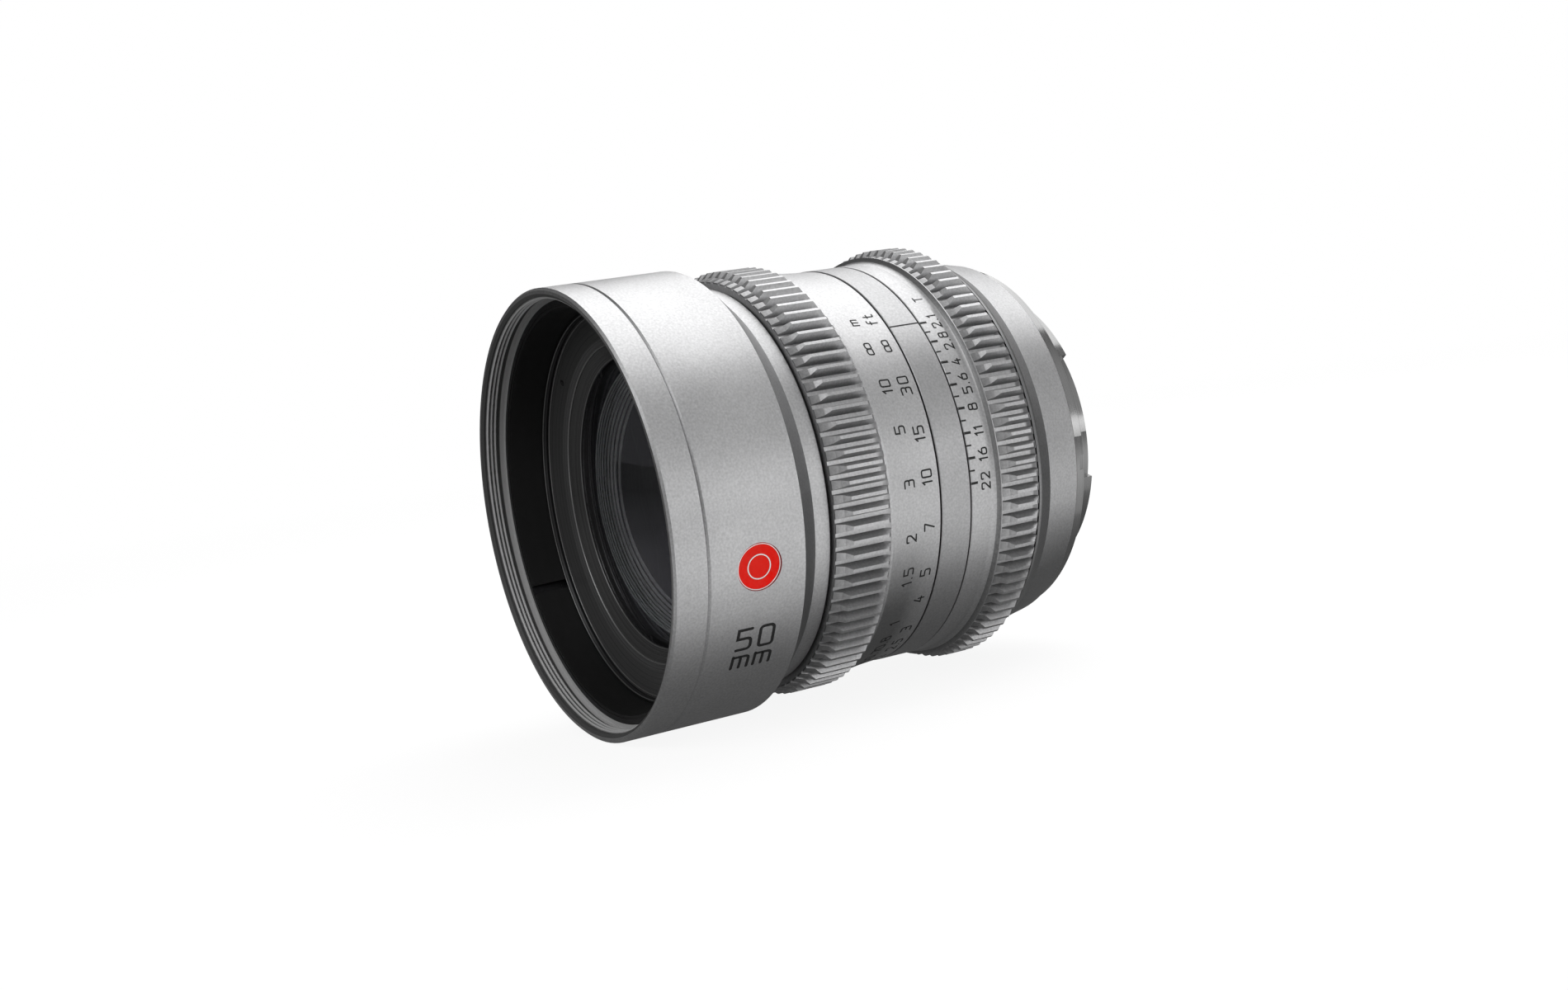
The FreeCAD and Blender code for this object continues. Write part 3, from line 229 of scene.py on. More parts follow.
# Cosines with the outward radius between which a face turns from black to silver.
SKIN_FACING = (-0.4, -0.3)

# Painted shade on faces that lean to the rear: how far they lean, where the shade fades as they
# turn up, and how deep it is. The first is for bevels, the second for the rear cone.
BEVEL_LEAN, BEVEL_FADE, BEVEL_SHADE = (0.25, 0.45), (-0.12, 0.28), 0.65
CONE_LEAN, CONE_FADE, CONE_SHADE = (0.05, 0.1), (-0.65, -0.3), 0.48

# Painted shade in the gear valleys: the bands along the barrel and the radii that hold them.
FOCUS_BAND_START, FOCUS_BAND_END = (31.5, 31.7), (41.0, 41.4)
IRIS_BAND_START = (59.5, 59.7)
VALLEY_FLOOR, VALLEY_MOUTH = (36.9, 36.95), (37.0, 38.0)
VALLEY_SHADE = 0.5

# Front ring: black within the first radius, turned bore within the second and blasted outside,
# with painted shade on the ground under the thread up to where it runs out.
SOCKET_R, BORE_R, ZONE_EDGE = 37.6, 39.0, 0.05
THREAD_RUN_OUT = (3.45, 3.6)
THREAD_GROUND_SHADE = grey(0.1)
BORE_PALE = grey(0.64)


def grained(tree, vector, dark, light):
    """Faint clouds with the fine sparkle that blasting leaves."""
    clouds = combine(tree, "MULTIPLY", noise(tree, vector, CLOUD_SCALE, CLOUD_DETAIL),
                     CLOUD_SHARE)
    sparkle = combine(tree, "MULTIPLY", noise(tree, vector, SPARKLE_SCALE, SPARKLE_DETAIL),
                      SPARKLE_SHARE)
    return tint(tree, combine(tree, "ADD", clouds, sparkle), dark, light)


def blasted_grain(tree, shader, vector, rough, depth=GRAIN_DEPTH):
    """Fine even grain in the roughness and the surface."""
    fine = noise(tree, vector, GRAIN_SCALE)
    tree.links.new(remap(tree, fine, rough - GRAIN_ROUGHNESS, rough + GRAIN_ROUGHNESS),
                   shader.inputs["Roughness"])
    bump(tree, shader, fine, depth, GRAIN_STRENGTH)


def blasted(name, dark, light, rough, depth=GRAIN_DEPTH):
    """Even matt coat with fine grain, such as paint in an engraving or enamel."""
    m, tree, shader = new_material(name)
    vector = object_coords(tree)
    tree.links.new(grained(tree, vector, dark, light), shader.inputs["Base Color"])
    shader.inputs["Metallic"].default_value = 0.0
    blasted_grain(tree, shader, vector, rough, depth)
    return m


def silver_finish(tree, shader, vector, skin, colour):
    """Black where skin is 0, blasted metal where it is 1."""
    tree.links.new(colour, shader.inputs["Base Color"])
    tree.links.new(combine(tree, "MULTIPLY", skin, SILVER_METALLIC), shader.inputs["Metallic"])
    blasted_grain(tree, shader, vector, SILVER_ROUGH)


def outer_skin(tree, coords):
    """One on faces that look away from the optical axis, zero on those that look at it."""
    spoke = add(tree, "ShaderNodeVectorMath", operation="MULTIPLY")
    tree.links.new(coords.outputs["Object"], spoke.inputs[0])
    spoke.inputs[1].default_value = (1.0, 0.0, 1.0)
    outward = add(tree, "ShaderNodeVectorMath", operation="NORMALIZE")
    tree.links.new(spoke.outputs[0], outward.inputs[0])
    facing = add(tree, "ShaderNodeVectorMath", operation="DOT_PRODUCT")
    tree.links.new(outward.outputs[0], facing.inputs[0])
    tree.links.new(coords.outputs["Normal"], facing.inputs[1])
    return remap(tree, facing.outputs["Value"], 0.0, 1.0, *SKIN_FACING)


def leaning_painted_shade(tree, normal, lean, fade, shade):
    """Painted shade on faces that lean to the rear, deeper as they turn down."""
    leans = remap(tree, normal.outputs["Y"], 0.0, 1.0, *lean)
    downward = remap(tree, normal.outputs["Z"], shade, 0.0, *fade)
    return combine(tree, "MULTIPLY", leans, downward)


def rise(tree, along, band):
    """Goes from zero to one between two distances behind the rim."""
    return remap(tree, along, 0.0, 1.0, *(on_axis(s) for s in band))


def fall(tree, along, band):
    """Goes from one to zero between two distances behind the rim."""
    return remap(tree, along, 1.0, 0.0, *(on_axis(s) for s in band))


def valley_painted_shade(tree, vector):
    """Painted shade between the teeth of the two geared bands."""
    radius, along = axis_radius(tree, vector)
    focus_band = combine(tree, "MULTIPLY", rise(tree, along, FOCUS_BAND_START),
                         fall(tree, along, FOCUS_BAND_END))
    iris_band = rise(tree, along, IRIS_BAND_START)
    geared = combine(tree, "MULTIPLY", combine(tree, "MAXIMUM", focus_band, iris_band),
                     VALLEY_SHADE)
    deep = remap(tree, radius, 1.0, 0.0, *(r * MM for r in VALLEY_MOUTH))
    thick = remap(tree, radius, 0.0, 1.0, *(r * MM for r in VALLEY_FLOOR))
    return combine(tree, "MULTIPLY", combine(tree, "MULTIPLY", geared, thick), deep)


def silver_black_bores(name, dark, light):
    """Blasted silver on a ring whose bores are black, with painted shade on rear-leaning faces and
    in the gear valleys.
    """
    m, tree, shader = new_material(name)
    coords = add(tree, "ShaderNodeTexCoord")
    vector = coords.outputs["Object"]
    skin = outer_skin(tree, coords)
    normal = add(tree, "ShaderNodeSeparateXYZ")
    tree.links.new(coords.outputs["Normal"], normal.inputs[0])
    # Painted shade on bevels and the rear cone, deeper on their lower side.
    bevel = leaning_painted_shade(tree, normal, BEVEL_LEAN, BEVEL_FADE, BEVEL_SHADE)
    cone = leaning_painted_shade(tree, normal, CONE_LEAN, CONE_FADE, CONE_SHADE)
    shade = combine(tree, "MAXIMUM", combine(tree, "MAXIMUM", bevel, cone),
                    valley_painted_shade(tree, vector))
    # The painted shade mixes the blasted silver towards black.
    blast = zone(tree, shade, grained(tree, vector, dark, light), BORE_BLACK)
    silver_finish(tree, shader, vector, skin, zone(tree, skin, BORE_BLACK, blast))
    return m


def silver_front_ring(name):
    """Front ring: black socket, pale turned bore with painted shade under the thread, and blasted
    silver outside, by radius.
    """
    m, tree, shader = new_material(name)
    vector = object_coords(tree)
    radius, along = axis_radius(tree, vector)
    outside = remap(tree, radius, 0.0, 1.0, BORE_R * MM, (BORE_R + ZONE_EDGE) * MM)
    bore = remap(tree, radius, 0.0, 1.0, SOCKET_R * MM, (SOCKET_R + ZONE_EDGE) * MM)
    # Painted shade on the bore between the thread's turns.
    behind_thread = rise(tree, along, THREAD_RUN_OUT)
    turned = zone(tree, behind_thread, THREAD_GROUND_SHADE, BORE_PALE)
    colour = zone(tree, bore, BORE_BLACK, turned)
    colour = zone(tree, outside, colour, grained(tree, vector, SILVER_DARK, SILVER_LIGHT))
    silver_finish(tree, shader, vector, outside, colour)
    return m


# ---------------------------------------------------------------- turned metal and glass

LATHE_SCALE, LATHE_DETAIL = 9000.0, 3.0
LATHE_DEPTH = 0.000006
LATHE_STRENGTH = 0.5
LATHE_ROUGHNESS = 0.06

# Radii between which the thread's painted shade deepens from crest to root.
THREAD_CREST, THREAD_ROOT = 38.2, 38.45
THREAD_METALLIC, THREAD_ROUGH = 0.3, 0.35
MOTTLE_SCALE, MOTTLE_SHARE = 900.0, 0.1

GLASS_IOR = 1.5
GLASS_CLOUD_SCALE, GLASS_CLOUD_DETAIL = 30.0, 1.0
GLASS_ROUGH = 0.015
COATING_LEVEL = 0.12
COATING_TINT = (0.75, 0.7, 1.0, 1.0)

ENAMEL_DARK, ENAMEL_LIGHT = (0.9, 0.02, 0.006), (0.97, 0.03, 0.01)
ENAMEL_ROUGH, ENAMEL_GRAIN = 0.35, 0.000002
# Emission on the enamel is painted light; it is no lamp.
ENAMEL_GLOW, ENAMEL_GLOW_STRENGTH = (0.9, 0.015, 0.004, 1.0), 0.14


def turned_metal(name, dark, light, metallic, rough):
    """Metal with the fine rings that a lathe leaves."""
    m, tree, shader = new_material(name)
    radius, along = axis_radius(tree, object_coords(tree))
    flat = add(tree, "ShaderNodeCombineXYZ")
    tree.links.new(radius, flat.inputs["X"])
    tree.links.new(along, flat.inputs["Y"])
    rings = noise(tree, flat.outputs["Vector"], LATHE_SCALE, LATHE_DETAIL)
    tree.links.new(tint(tree, rings, dark, light), shader.inputs["Base Color"])
    tree.links.new(remap(tree, rings, rough - LATHE_ROUGHNESS, rough + LATHE_ROUGHNESS),
                   shader.inputs["Roughness"])
    shader.inputs["Metallic"].default_value = metallic
    bump(tree, shader, rings, LATHE_DEPTH, LATHE_STRENGTH)
    return m


def thread_metal(name, dark, light):
    """Silver on a thread's crests, with painted shade that darkens it towards its roots."""
    m, tree, shader = new_material(name)
    vector = object_coords(tree)
    radius, _ = axis_radius(tree, vector)
    height = remap(tree, radius, NOISE_HIGH, NOISE_LOW, THREAD_CREST * MM, THREAD_ROOT * MM)
    mottle = combine(tree, "MULTIPLY", noise(tree, vector, MOTTLE_SCALE), MOTTLE_SHARE)
    tree.links.new(tint(tree, combine(tree, "ADD", height, mottle), dark, light),
                   shader.inputs["Base Color"])
    shader.inputs["Metallic"].default_value = THREAD_METALLIC
    shader.inputs["Roughness"].default_value = THREAD_ROUGH
    return m


def glass_material(name, coat, clear):
    """Coated optical glass: clear, with a faint coloured sheen that varies a little."""
    m, tree, shader = new_material(name)
    clouds = noise(tree, object_coords(tree), GLASS_CLOUD_SCALE, GLASS_CLOUD_DETAIL)
    tree.links.new(tint(tree, clouds, coat, clear), shader.inputs["Base Color"])
    tree.links.new(remap(tree, clouds, 0.0, GLASS_ROUGH), shader.inputs["Roughness"])
    shader.inputs["Transmission Weight"].default_value = 1.0
    shader.inputs["IOR"].default_value = GLASS_IOR
    shader.inputs["Specular IOR Level"].default_value = COATING_LEVEL
    shader.inputs["Specular Tint"].default_value = COATING_TINT
    return m


def red_enamel(name):
    """Red that glows a little, as painted light, to be as bright as in the photograph."""
    m = blasted(name, ENAMEL_DARK, ENAMEL_LIGHT, ENAMEL_ROUGH, ENAMEL_GRAIN)
    shader = m.node_tree.nodes["Principled BSDF"]
    shader.inputs["Emission Color"].default_value = ENAMEL_GLOW
    shader.inputs["Emission Strength"].default_value = ENAMEL_GLOW_STRENGTH
    return m


# ---------------------------------------------------------------- materials

thread_silver = thread_metal("thread_silver", grey(0.02), grey(0.95))
silver_ring = silver_black_bores("silver_black_bore", SILVER_DARK, SILVER_LIGHT)
index_silver = silver_black_bores("index_silver", (0.375, 0.375, 0.38), (0.52, 0.52, 0.525))
front_silver = silver_front_ring("silver_front_ring")
fill_black = blasted("engraving_black", grey(0.006), grey(0.012), 0.6)
enamel = red_enamel("red_enamel")

# Name, darkest and lightest colour, metallic and roughness.
black = turned_metal("black_anodised", grey(0.006), grey(0.011), 0.0, 0.5)
cell_black = turned_metal("cell_black", (0.014, 0.014, 0.015), (0.028, 0.028, 0.029), 0.3, 0.36)
# Pale grey on the fine edges in the front recess: a painted highlight.
edge_highlight_grey = turned_metal("edge_highlight_grey", grey(0.3), grey(0.4), 0.7, 0.28)
retainer_grey = turned_metal("retainer_grey", grey(0.06), grey(0.09), 0.4, 0.3)
cover_grey = turned_metal("cover_grey", (0.08, 0.08, 0.081), (0.11, 0.11, 0.111), 0.3, 0.3)
# Pale grey on the baffle's ribs: painted highlights on their crests.
rib_highlight_grey = turned_metal("baffle_highlight_grey", grey(0.6), grey(0.8), 0.3, 0.4)
bare = turned_metal("bare_aluminium", (0.48, 0.48, 0.49), (0.62, 0.62, 0.63), 1.0, 0.33)
brass = turned_metal("brass", (0.52, 0.36, 0.14), (0.66, 0.48, 0.2), 1.0, 0.3)
steel = turned_metal("mount_steel", grey(0.22), grey(0.32), 1.0, 0.16)
screw_steel = turned_metal("screw_steel", grey(0.3), grey(0.45), 1.0, 0.3)
blade_steel = turned_metal("blade_steel", (0.03, 0.03, 0.032), (0.06, 0.06, 0.062), 0.7, 0.35)
bright = turned_metal("bright_metal", grey(0.7), grey(0.85), 1.0, 0.18)

glass = glass_material("coated_glass", (0.9, 0.92, 0.95), grey(0.95))
# The inner glasses are tinted dark grey: painted shade inside the lens.
inner_glass = glass_material("coated_inner_glass", (0.26, 0.27, 0.3), grey(0.34))

SLOTS = {
    "silver_anodised": silver_ring,
    "black_anodised": black,
    "cell_black": cell_black,
    "bare_aluminium": bare,
    "brass": brass,
    "shim_brass": brass,
    "steel_screws": screw_steel,
    "mount_steel": steel,
    "blade_steel": blade_steel,
    "coated_glass": glass,
    "badge_enamel": enamel,
}

# Nodes that look unlike the rest of their slot.
OWN_FINISH = {
    "front_ring": front_silver,
    "index_ring": index_silver,
    "guide_key": black,
    "main_tube": black,
    "iris_base_plate": black,
    "iris_actuator": black,
    "front_retainer": retainer_grey,
    "cover_ring": cover_grey,
    "second_element": inner_glass,
    "third_element": inner_glass,
    "fourth_element": inner_glass,
    "fifth_element": inner_glass,
}


def dress_nodes():
    """Each CAD node takes the finish of its slot in the record, or its own."""
    for piece in nodes.values():
        for i, plain in enumerate(piece.data.materials):
            piece.data.materials[i] = SLOTS[plain.name.split(".")[0]]
    for name, finish in OWN_FINISH.items():
        nodes[name].data.materials[0] = finish


# ---------------------------------------------------------------- mesh helpers

SAME_VERTEX = 1e-8


def finish_piece(name, mesh_builder, material, body, sharp=35.0):
    """Turns a bmesh into a named object that rides on a body."""
    bmesh.ops.remove_doubles(mesh_builder, verts=mesh_builder.verts, dist=SAME_VERTEX)
    bmesh.ops.recalc_face_normals(mesh_builder, faces=mesh_builder.faces)
    data = bpy.data.meshes.new(name)
    mesh_builder.to_mesh(data)
    mesh_builder.free()
    data.shade_smooth()
    data.set_sharp_from_angle(angle=math.radians(sharp))
    data.materials.append(material)
    piece = bpy.data.objects.new(name, data)
    bpy.context.collection.objects.link(piece)
    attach(piece, body)
    return piece


def skin_rows(bm, rows, closed):
    """Skin over loops of vertices: a ring of loops that closes, or a run with both ends capped."""
    for here, there in zip(rows, rows[1:] + rows[:1] if closed else rows[1:]):
        for i in range(len(here)):
            j = (i + 1) % len(here)
            bm.faces.new((here[i], here[j], there[j], there[i]))
    if not closed:
        bm.faces.new(rows[0])
        bm.faces.new(rows[-1])


def lathe(bm, profile, steps):
    """Closed ring swept round the optical axis from a closed profile of (r, s) points."""
    skin_rows(bm, [[bm.verts.new(place(r, s, 360.0 * k / steps)) for r, s in profile]
                   for k in range(steps)], True)


# ---------------------------------------------------------------- engraving alphabet

# Strokes on a cell one unit high. A point with three numbers has its corner rounded by
# the third.
W = 0.62
C = 0.2


def box_stroke(x0, y0, x1, y1, c):
    """Rounded box that starts and ends in the middle of its lower side."""
    middle = (x0 + x1) / 2
    return [(middle, y0), (x1, y0, c), (x1, y1, c), (x0, y1, c), (x0, y0, c), (middle, y0)]


GLYPHS = {
    "0": (W, [box_stroke(0, 0, W, 1, C)]),
    "1": (0.2, [[(0.0, 0.78), (0.2, 1.0), (0.2, 0.0)]]),
    "2": (W, [[(0, 0.8), (0, 1, C), (W, 1, C), (W, 0.6, 0.12), (0, 0.0), (W, 0)]]),
    "3": (W, [[(0, 1), (W, 1, C), (W, 0.53, 0.15), (0.22, 0.53)],
              [(0.25, 0.53), (W, 0.53, 0.15), (W, 0, C), (0, 0)]]),
    "4": (W, [[(0.34, 1), (0, 0.3), (W, 0.3)], [(0.44, 0.6), (0.44, 0)]]),
    "5": (W, [[(W, 1), (0.02, 1), (0, 0.56), (W, 0.56, C), (W, 0, C), (0, 0)]]),
    "6": (W, [[(0.42, 1), (0, 0.5, 0.12), (0, 0, C), (W, 0, C), (W, 0.58, C), (0.04, 0.58)]]),
    "7": (W, [[(0, 1), (W, 1, 0.05), (0.22, 0)]]),
    "8": (W, [box_stroke(0, 0, W, 0.54, 0.18), box_stroke(0.04, 0.55, W - 0.04, 1, 0.17)]),
    ".": (0.04, [[(0.02, 0.0), (0.02, 0.03)]]),
    "T": (W, [[(0, 1), (W, 1)], [(W / 2, 1), (W / 2, 0)]]),
    "m": (0.72, [[(0, 0), (0, 0.66)], [(0, 0.62), (0.72, 0.62, 0.16), (0.72, 0)],
                 [(0.36, 0.62), (0.36, 0)]]),
    "f": (0.42, [[(0.42, 1), (0.14, 1, 0.12), (0.14, 0)], [(0, 0.64), (0.36, 0.64)]]),
    "t": (0.42, [[(0.14, 1), (0.14, 0, 0.12), (0.42, 0)], [(0, 0.64), (0.38, 0.64)]]),
    "inf": (1.24, [box_stroke(0, 0.2, 0.6, 0.8, 0.26), box_stroke(0.64, 0.2, 1.24, 0.8, 0.26)]),
}

CORNER_STEPS = 5
STROKE_STEP = 0.3
LINE_STEP = 0.06
CAP_STEPS = 12
SAME_POINT = 1e-4
NO_LENGTH = 1e-6
MITRE_LEAST, MITRE_MOST = 0.35, 1.8

# Marks stand this far above the metal and reach this far into it, in millimetres.
MARK_TOP, CAP_TOP, MARK_DEPTH = 0.012, 0.011, 0.05
OUTSIDE_R = 45.0
LETTER_GAP = 0.42


def rounded(points):
    """Polyline with each marked corner replaced by short arc steps."""
    out = []
    for i, p in enumerate(points):
        here = Vector(p[:2])
        if len(p) == 2 or i in (0, len(points) - 1):
            out.append(here)
            continue
        before = Vector(points[i - 1][:2]) - here
        after = Vector(points[i + 1][:2]) - here
        reach = min(p[2], before.length * 0.5, after.length * 0.5)
        start = here + before.normalized() * reach
        end = here + after.normalized() * reach
        for k in range(CORNER_STEPS + 1):
            t = k / CORNER_STEPS
            out.append(start * (1 - t) ** 2 + here * 2 * t * (1 - t) + end * t ** 2)
    return out


def divided(points):
    """The same polyline without doubled points, in steps short enough to follow a barrel."""
    out = [points[0]]
    for p in points[1:]:
        run = p - out[-1]
        if run.length > SAME_POINT:
            count = max(1, math.ceil(run.length / STROKE_STEP))
            out += [out[-1] + run * (k + 1) / count for k in range(count)]
    return out


def stroke_outline(points, half):
    """Left and right edges of a stroke, and whether it closes on itself."""
    line = divided(points)
    left, right = [], []
    last = len(line) - 1
    closed = (line[0] - line[last]).length < SAME_POINT
    for i, p in enumerate(line):
        ahead = line[min(i + 1, last)] - p
        behind = p - line[max(i - 1, 0)]
        if closed and i in (0, last):
            behind, ahead = line[last] - line[last - 1], line[1] - line[0]
        if ahead.length < NO_LENGTH:
            ahead = behind
        if behind.length < NO_LENGTH:
            behind = ahead
        way = ahead.normalized() + behind.normalized()
        way = way.normalized() if way.length > NO_LENGTH else ahead.normalized()
        side = Vector((-way.y, way.x))
        square = Vector((-ahead.y, ahead.x)).normalized()
        mitre = min(1.0 / max(side.dot(square), MITRE_LEAST), MITRE_MOST)
        left.append(p + side * half * mitre)
        right.append(p - side * half * mitre)
    return left, right, closed


class Surface:
    """Outer skin of a CAD node, onto which marks are laid."""

    def __init__(self, node):
        mesh = nodes[node].data
        points = [v.co.copy() for v in mesh.vertices]
        self.tree = BVHTree.FromPolygons(points, [p.vertices[:] for p in mesh.polygons])

    def point(self, s, phi, lift):
        """Point that stands above the skin by a lift in millimetres."""
        outside = place(OUTSIDE_R, s, phi)
        inward = (place(0.0, s, phi) - outside).normalized()
        hit = self.tree.ray_cast(outside, inward)[0]
        return hit - inward * lift * MM


def mark_ribbon(bm, left, right, closed, lay):
    """Thin slab between two edges, from just above a surface to inside it."""
    rows = [[bm.verts.new(lay(p, lift)) for p, lift in ((a, MARK_TOP), (b, MARK_TOP),
                                                        (b, -MARK_DEPTH), (a, -MARK_DEPTH))]
            for a, b in zip(left, right)]
    skin_rows(bm, rows[:-1] if closed else rows, closed)


def dot_cap(bm, centre, half, lay):
    """Round slab that rounds off the end of a stroke."""
    ring = [centre + Vector((math.cos(a), math.sin(a))) * half for a in turns(CAP_STEPS)]
    skin_rows(bm, [[bm.verts.new(lay(p, lift)) for p in ring]
                   for lift in (CAP_TOP, -MARK_DEPTH)], False)


def write_text(bm, text, height, stroke, lay, gap=LETTER_GAP):
    """Lays centred text with a function from its plane to the surface."""
    x = -(sum(GLYPHS[char][0] for char in text) + gap * (len(text) - 1)) / 2
    for char in text:
        width, strokes = GLYPHS[char]
        for points in strokes:
            line = [Vector((p.x + x, p.y - 0.5)) * height for p in rounded(points)]
            left, right, closed = stroke_outline(line, stroke / 2)
            mark_ribbon(bm, left, right, closed, lay)
            if not closed:
                for end in (line[0], line[-1]):
                    dot_cap(bm, end, stroke / 2, lay)
        x += width + gap


def around(surface, s, theta, radius):
    """Text that reads round the barrel, upwards on the near side, with its top to the front."""
    def lay(p, lift):
        phi = 180.0 - theta + math.degrees(p.x / radius)
        return surface.point(s - p.y, phi, lift)
    return lay


def lengthwise(surface, s, theta, radius):
    """Text that reads towards the rear, with its top upwards on the near side."""
    def lay(p, lift):
        phi = 180.0 - theta + math.degrees(p.y / radius)
        return surface.point(s + p.x, phi, lift)
    return lay


# ---------------------------------------------------------------- lettering

# Text and theta of each numeral.
METRES = [("m", 135.0), ("inf", 144.7), ("10", 156.6), ("5", 168.9), ("3", 183.4), ("2", 198.4),
          ("1.5", 210.0), ("1", 226.8), ("0.8", 236.5), ("0.7", 243.5), ("0.6", 251.5)]
FEET = [("ft", 134.2), ("inf", 144.3), ("30", 157.0), ("15", 170.7), ("10", 182.5), ("7", 196.2),
        ("5", 210.0), ("4", 219.3), ("3", 231.8), ("2.5", 241.0), ("2", 250.5)]
STOPS = [("T", 129.0), ("2.1", 138.5), ("2.8", 145.6), ("4", 152.6), ("5.6", 159.3),
         ("8", 166.1), ("11", 172.9), ("16", 179.3), ("22", 186.6)]

# Radii that turn lengths on a scale into angles, rows of text and their sizes.
METRES_R, FEET_R, SCALE_R, BARREL_R = 36.8, 36.6, 36.5, 40.0
METRES_S, FEET_S, STOPS_S = 47.0, 50.8, 62.75
DISTANCE_HEIGHT, DISTANCE_STROKE = 2.0, 0.3
STOP_HEIGHT, STOP_STROKE = 1.7, 0.28

FIRST_STOP, STOP_PITCH, STOP_COUNT = 138.4, 6.9, 8
TICK_FRONT, TICK_REAR, HALF_TICK_REAR = 59.72, 61.1, 60.7
TICK_WIDTH, HALF_TICK_WIDTH = 0.46, 0.3

INDEX_FRONT, INDEX_REAR, INDEX_THETA, INDEX_WIDTH = 53.55, 59.4, 138.1, 0.32

# Lines of the focal length: characters, stroke, s, theta and gap.
FOCAL_LINES = ((["5", "0"], 0.58, 15.6, 214.05, 0.4), (["m", "m"], 0.55, 15.65, 220.1, 0.3))
FOCAL_HEIGHT = 4.1


def line_mark(bm, surface, start, end, width):
    """Straight mark between two (s, theta) places."""
    a, b = (Vector((s, math.radians(-theta) * SCALE_R)) for s, theta in (start, end))
    steps = max(2, int((b - a).length / LINE_STEP))
    line = [a + (b - a) * k / steps for k in range(steps + 1)]
    left, right, closed = stroke_outline(line, width / 2)

    def lay(p, lift):
        return surface.point(p.x, 180.0 + math.degrees(p.y / SCALE_R), lift)
    mark_ribbon(bm, left, right, closed, lay)


def write_row(bm, surface, row, s, radius, height, stroke):
    for text, theta in row:
        chars = [text] if text in GLYPHS else list(text)
        write_text(bm, chars, height, stroke, around(surface, s, theta, radius))


def focus_scales():
    bm = bmesh.new()
    skin = Surface("focus_ring")
    write_row(bm, skin, METRES, METRES_S, METRES_R, DISTANCE_HEIGHT, DISTANCE_STROKE)
    write_row(bm, skin, FEET, FEET_S, FEET_R, DISTANCE_HEIGHT, DISTANCE_STROKE)
    finish_piece("focus_scale_numerals", bm, fill_black, "focus_group")


def stop_scale():
    """Stop numerals, a tick at each stop and a finer one between each two."""
    bm = bmesh.new()
    skin = Surface("iris_ring")
    write_row(bm, skin, STOPS, STOPS_S, SCALE_R, STOP_HEIGHT, STOP_STROKE)
    for k in range(STOP_COUNT):
        theta = FIRST_STOP + STOP_PITCH * k
        line_mark(bm, skin, (TICK_FRONT, theta), (TICK_REAR, theta), TICK_WIDTH)
        if k < STOP_COUNT - 1:
            half = theta + STOP_PITCH / 2
            line_mark(bm, skin, (TICK_FRONT, half), (HALF_TICK_REAR, half), HALF_TICK_WIDTH)
    finish_piece("iris_scale_marks", bm, fill_black, "iris_group")


def index_line():
    bm = bmesh.new()
    line_mark(bm, Surface("index_ring"), (INDEX_FRONT, INDEX_THETA), (INDEX_REAR, INDEX_THETA),
              INDEX_WIDTH)
    finish_piece("index_line", bm, fill_black, "housing")


def focal_length_marking():
    bm = bmesh.new()
    skin = Surface("front_barrel")
    for chars, stroke, s, theta, gap in FOCAL_LINES:
        lay = lengthwise(skin, s, theta, BARREL_R)
        write_text(bm, chars, FOCAL_HEIGHT, stroke, lay, gap)
    finish_piece("focal_length_marking", bm, fill_black, "housing")


# ---------------------------------------------------------------- front recess

THREAD_PITCH, THREAD_HEIGHT, THREAD_R = 0.75, 0.42, 38.52
THREAD_START, THREAD_TURNS, THREAD_STEPS = 0.75, 2.9, 120
THREAD_FOOT, THREAD_FLAT = 0.36, 0.05

RIB_COUNT, RIB_FIRST, RIB_LAST = 9, 21.0, 24.9
BAFFLE_MOUTH_R, BAFFLE_END_R = 25.2, 23.2

# Height over the wall and place along it of each corner of a rib.
RIB_PROFILE = ((0.05, 0.0), (-0.26, 0.1), (-0.26, 0.18), (0.05, 0.22))

# Radius, place and roundness of each edge that catches the light; its pale grey is a painted
# highlight.
RECESS_EDGES = ((35.0, 10.93, 0.1), (34.4, 11.9, 0.1), (30.1, 13.14, 0.09),
                (28.8, 13.3, 0.2), (26.35, 14.7, 0.1))
EDGE_SIDES = 8

SPANNER_R, SPANNER_S, SPANNER_ANGLES = 32.2, 12.58, (134.7, 314.7)
SPANNER_SLOPE = math.radians(15.0)
SPANNER_STEPS = 32
SPANNER_PROFILE = ((0.62, -0.1), (1.0, 0.02), (1.05, 0.0), (0.66, -0.25))

RING_STEPS = 128
FINE_RING_STEPS = 160


def filter_thread():
    """Helical thread ridge in the front bore, fading out at both ends."""
    total = int(THREAD_TURNS * THREAD_STEPS)
    fade = THREAD_STEPS // 8
    bm = bmesh.new()
    rows = []
    for k in range(total + 1):
        phi = 360.0 * k / THREAD_STEPS
        s = THREAD_START + THREAD_PITCH * k / THREAD_STEPS
        grow = min(1.0, (k + 0.5) / fade, (total - k + 0.5) / fade)
        crest = THREAD_R - THREAD_HEIGHT * grow
        foot = THREAD_FOOT * grow
        section = [(THREAD_R, s - foot), (crest, s - THREAD_FLAT),
                   (crest, s + THREAD_FLAT), (THREAD_R, s + foot)]
        rows.append([bm.verts.new(place(r, z, phi)) for r, z in section])
    skin_rows(bm, rows, False)
    finish_piece("filter_thread_ridge", bm, thread_silver, "housing",
                 sharp=20.0)


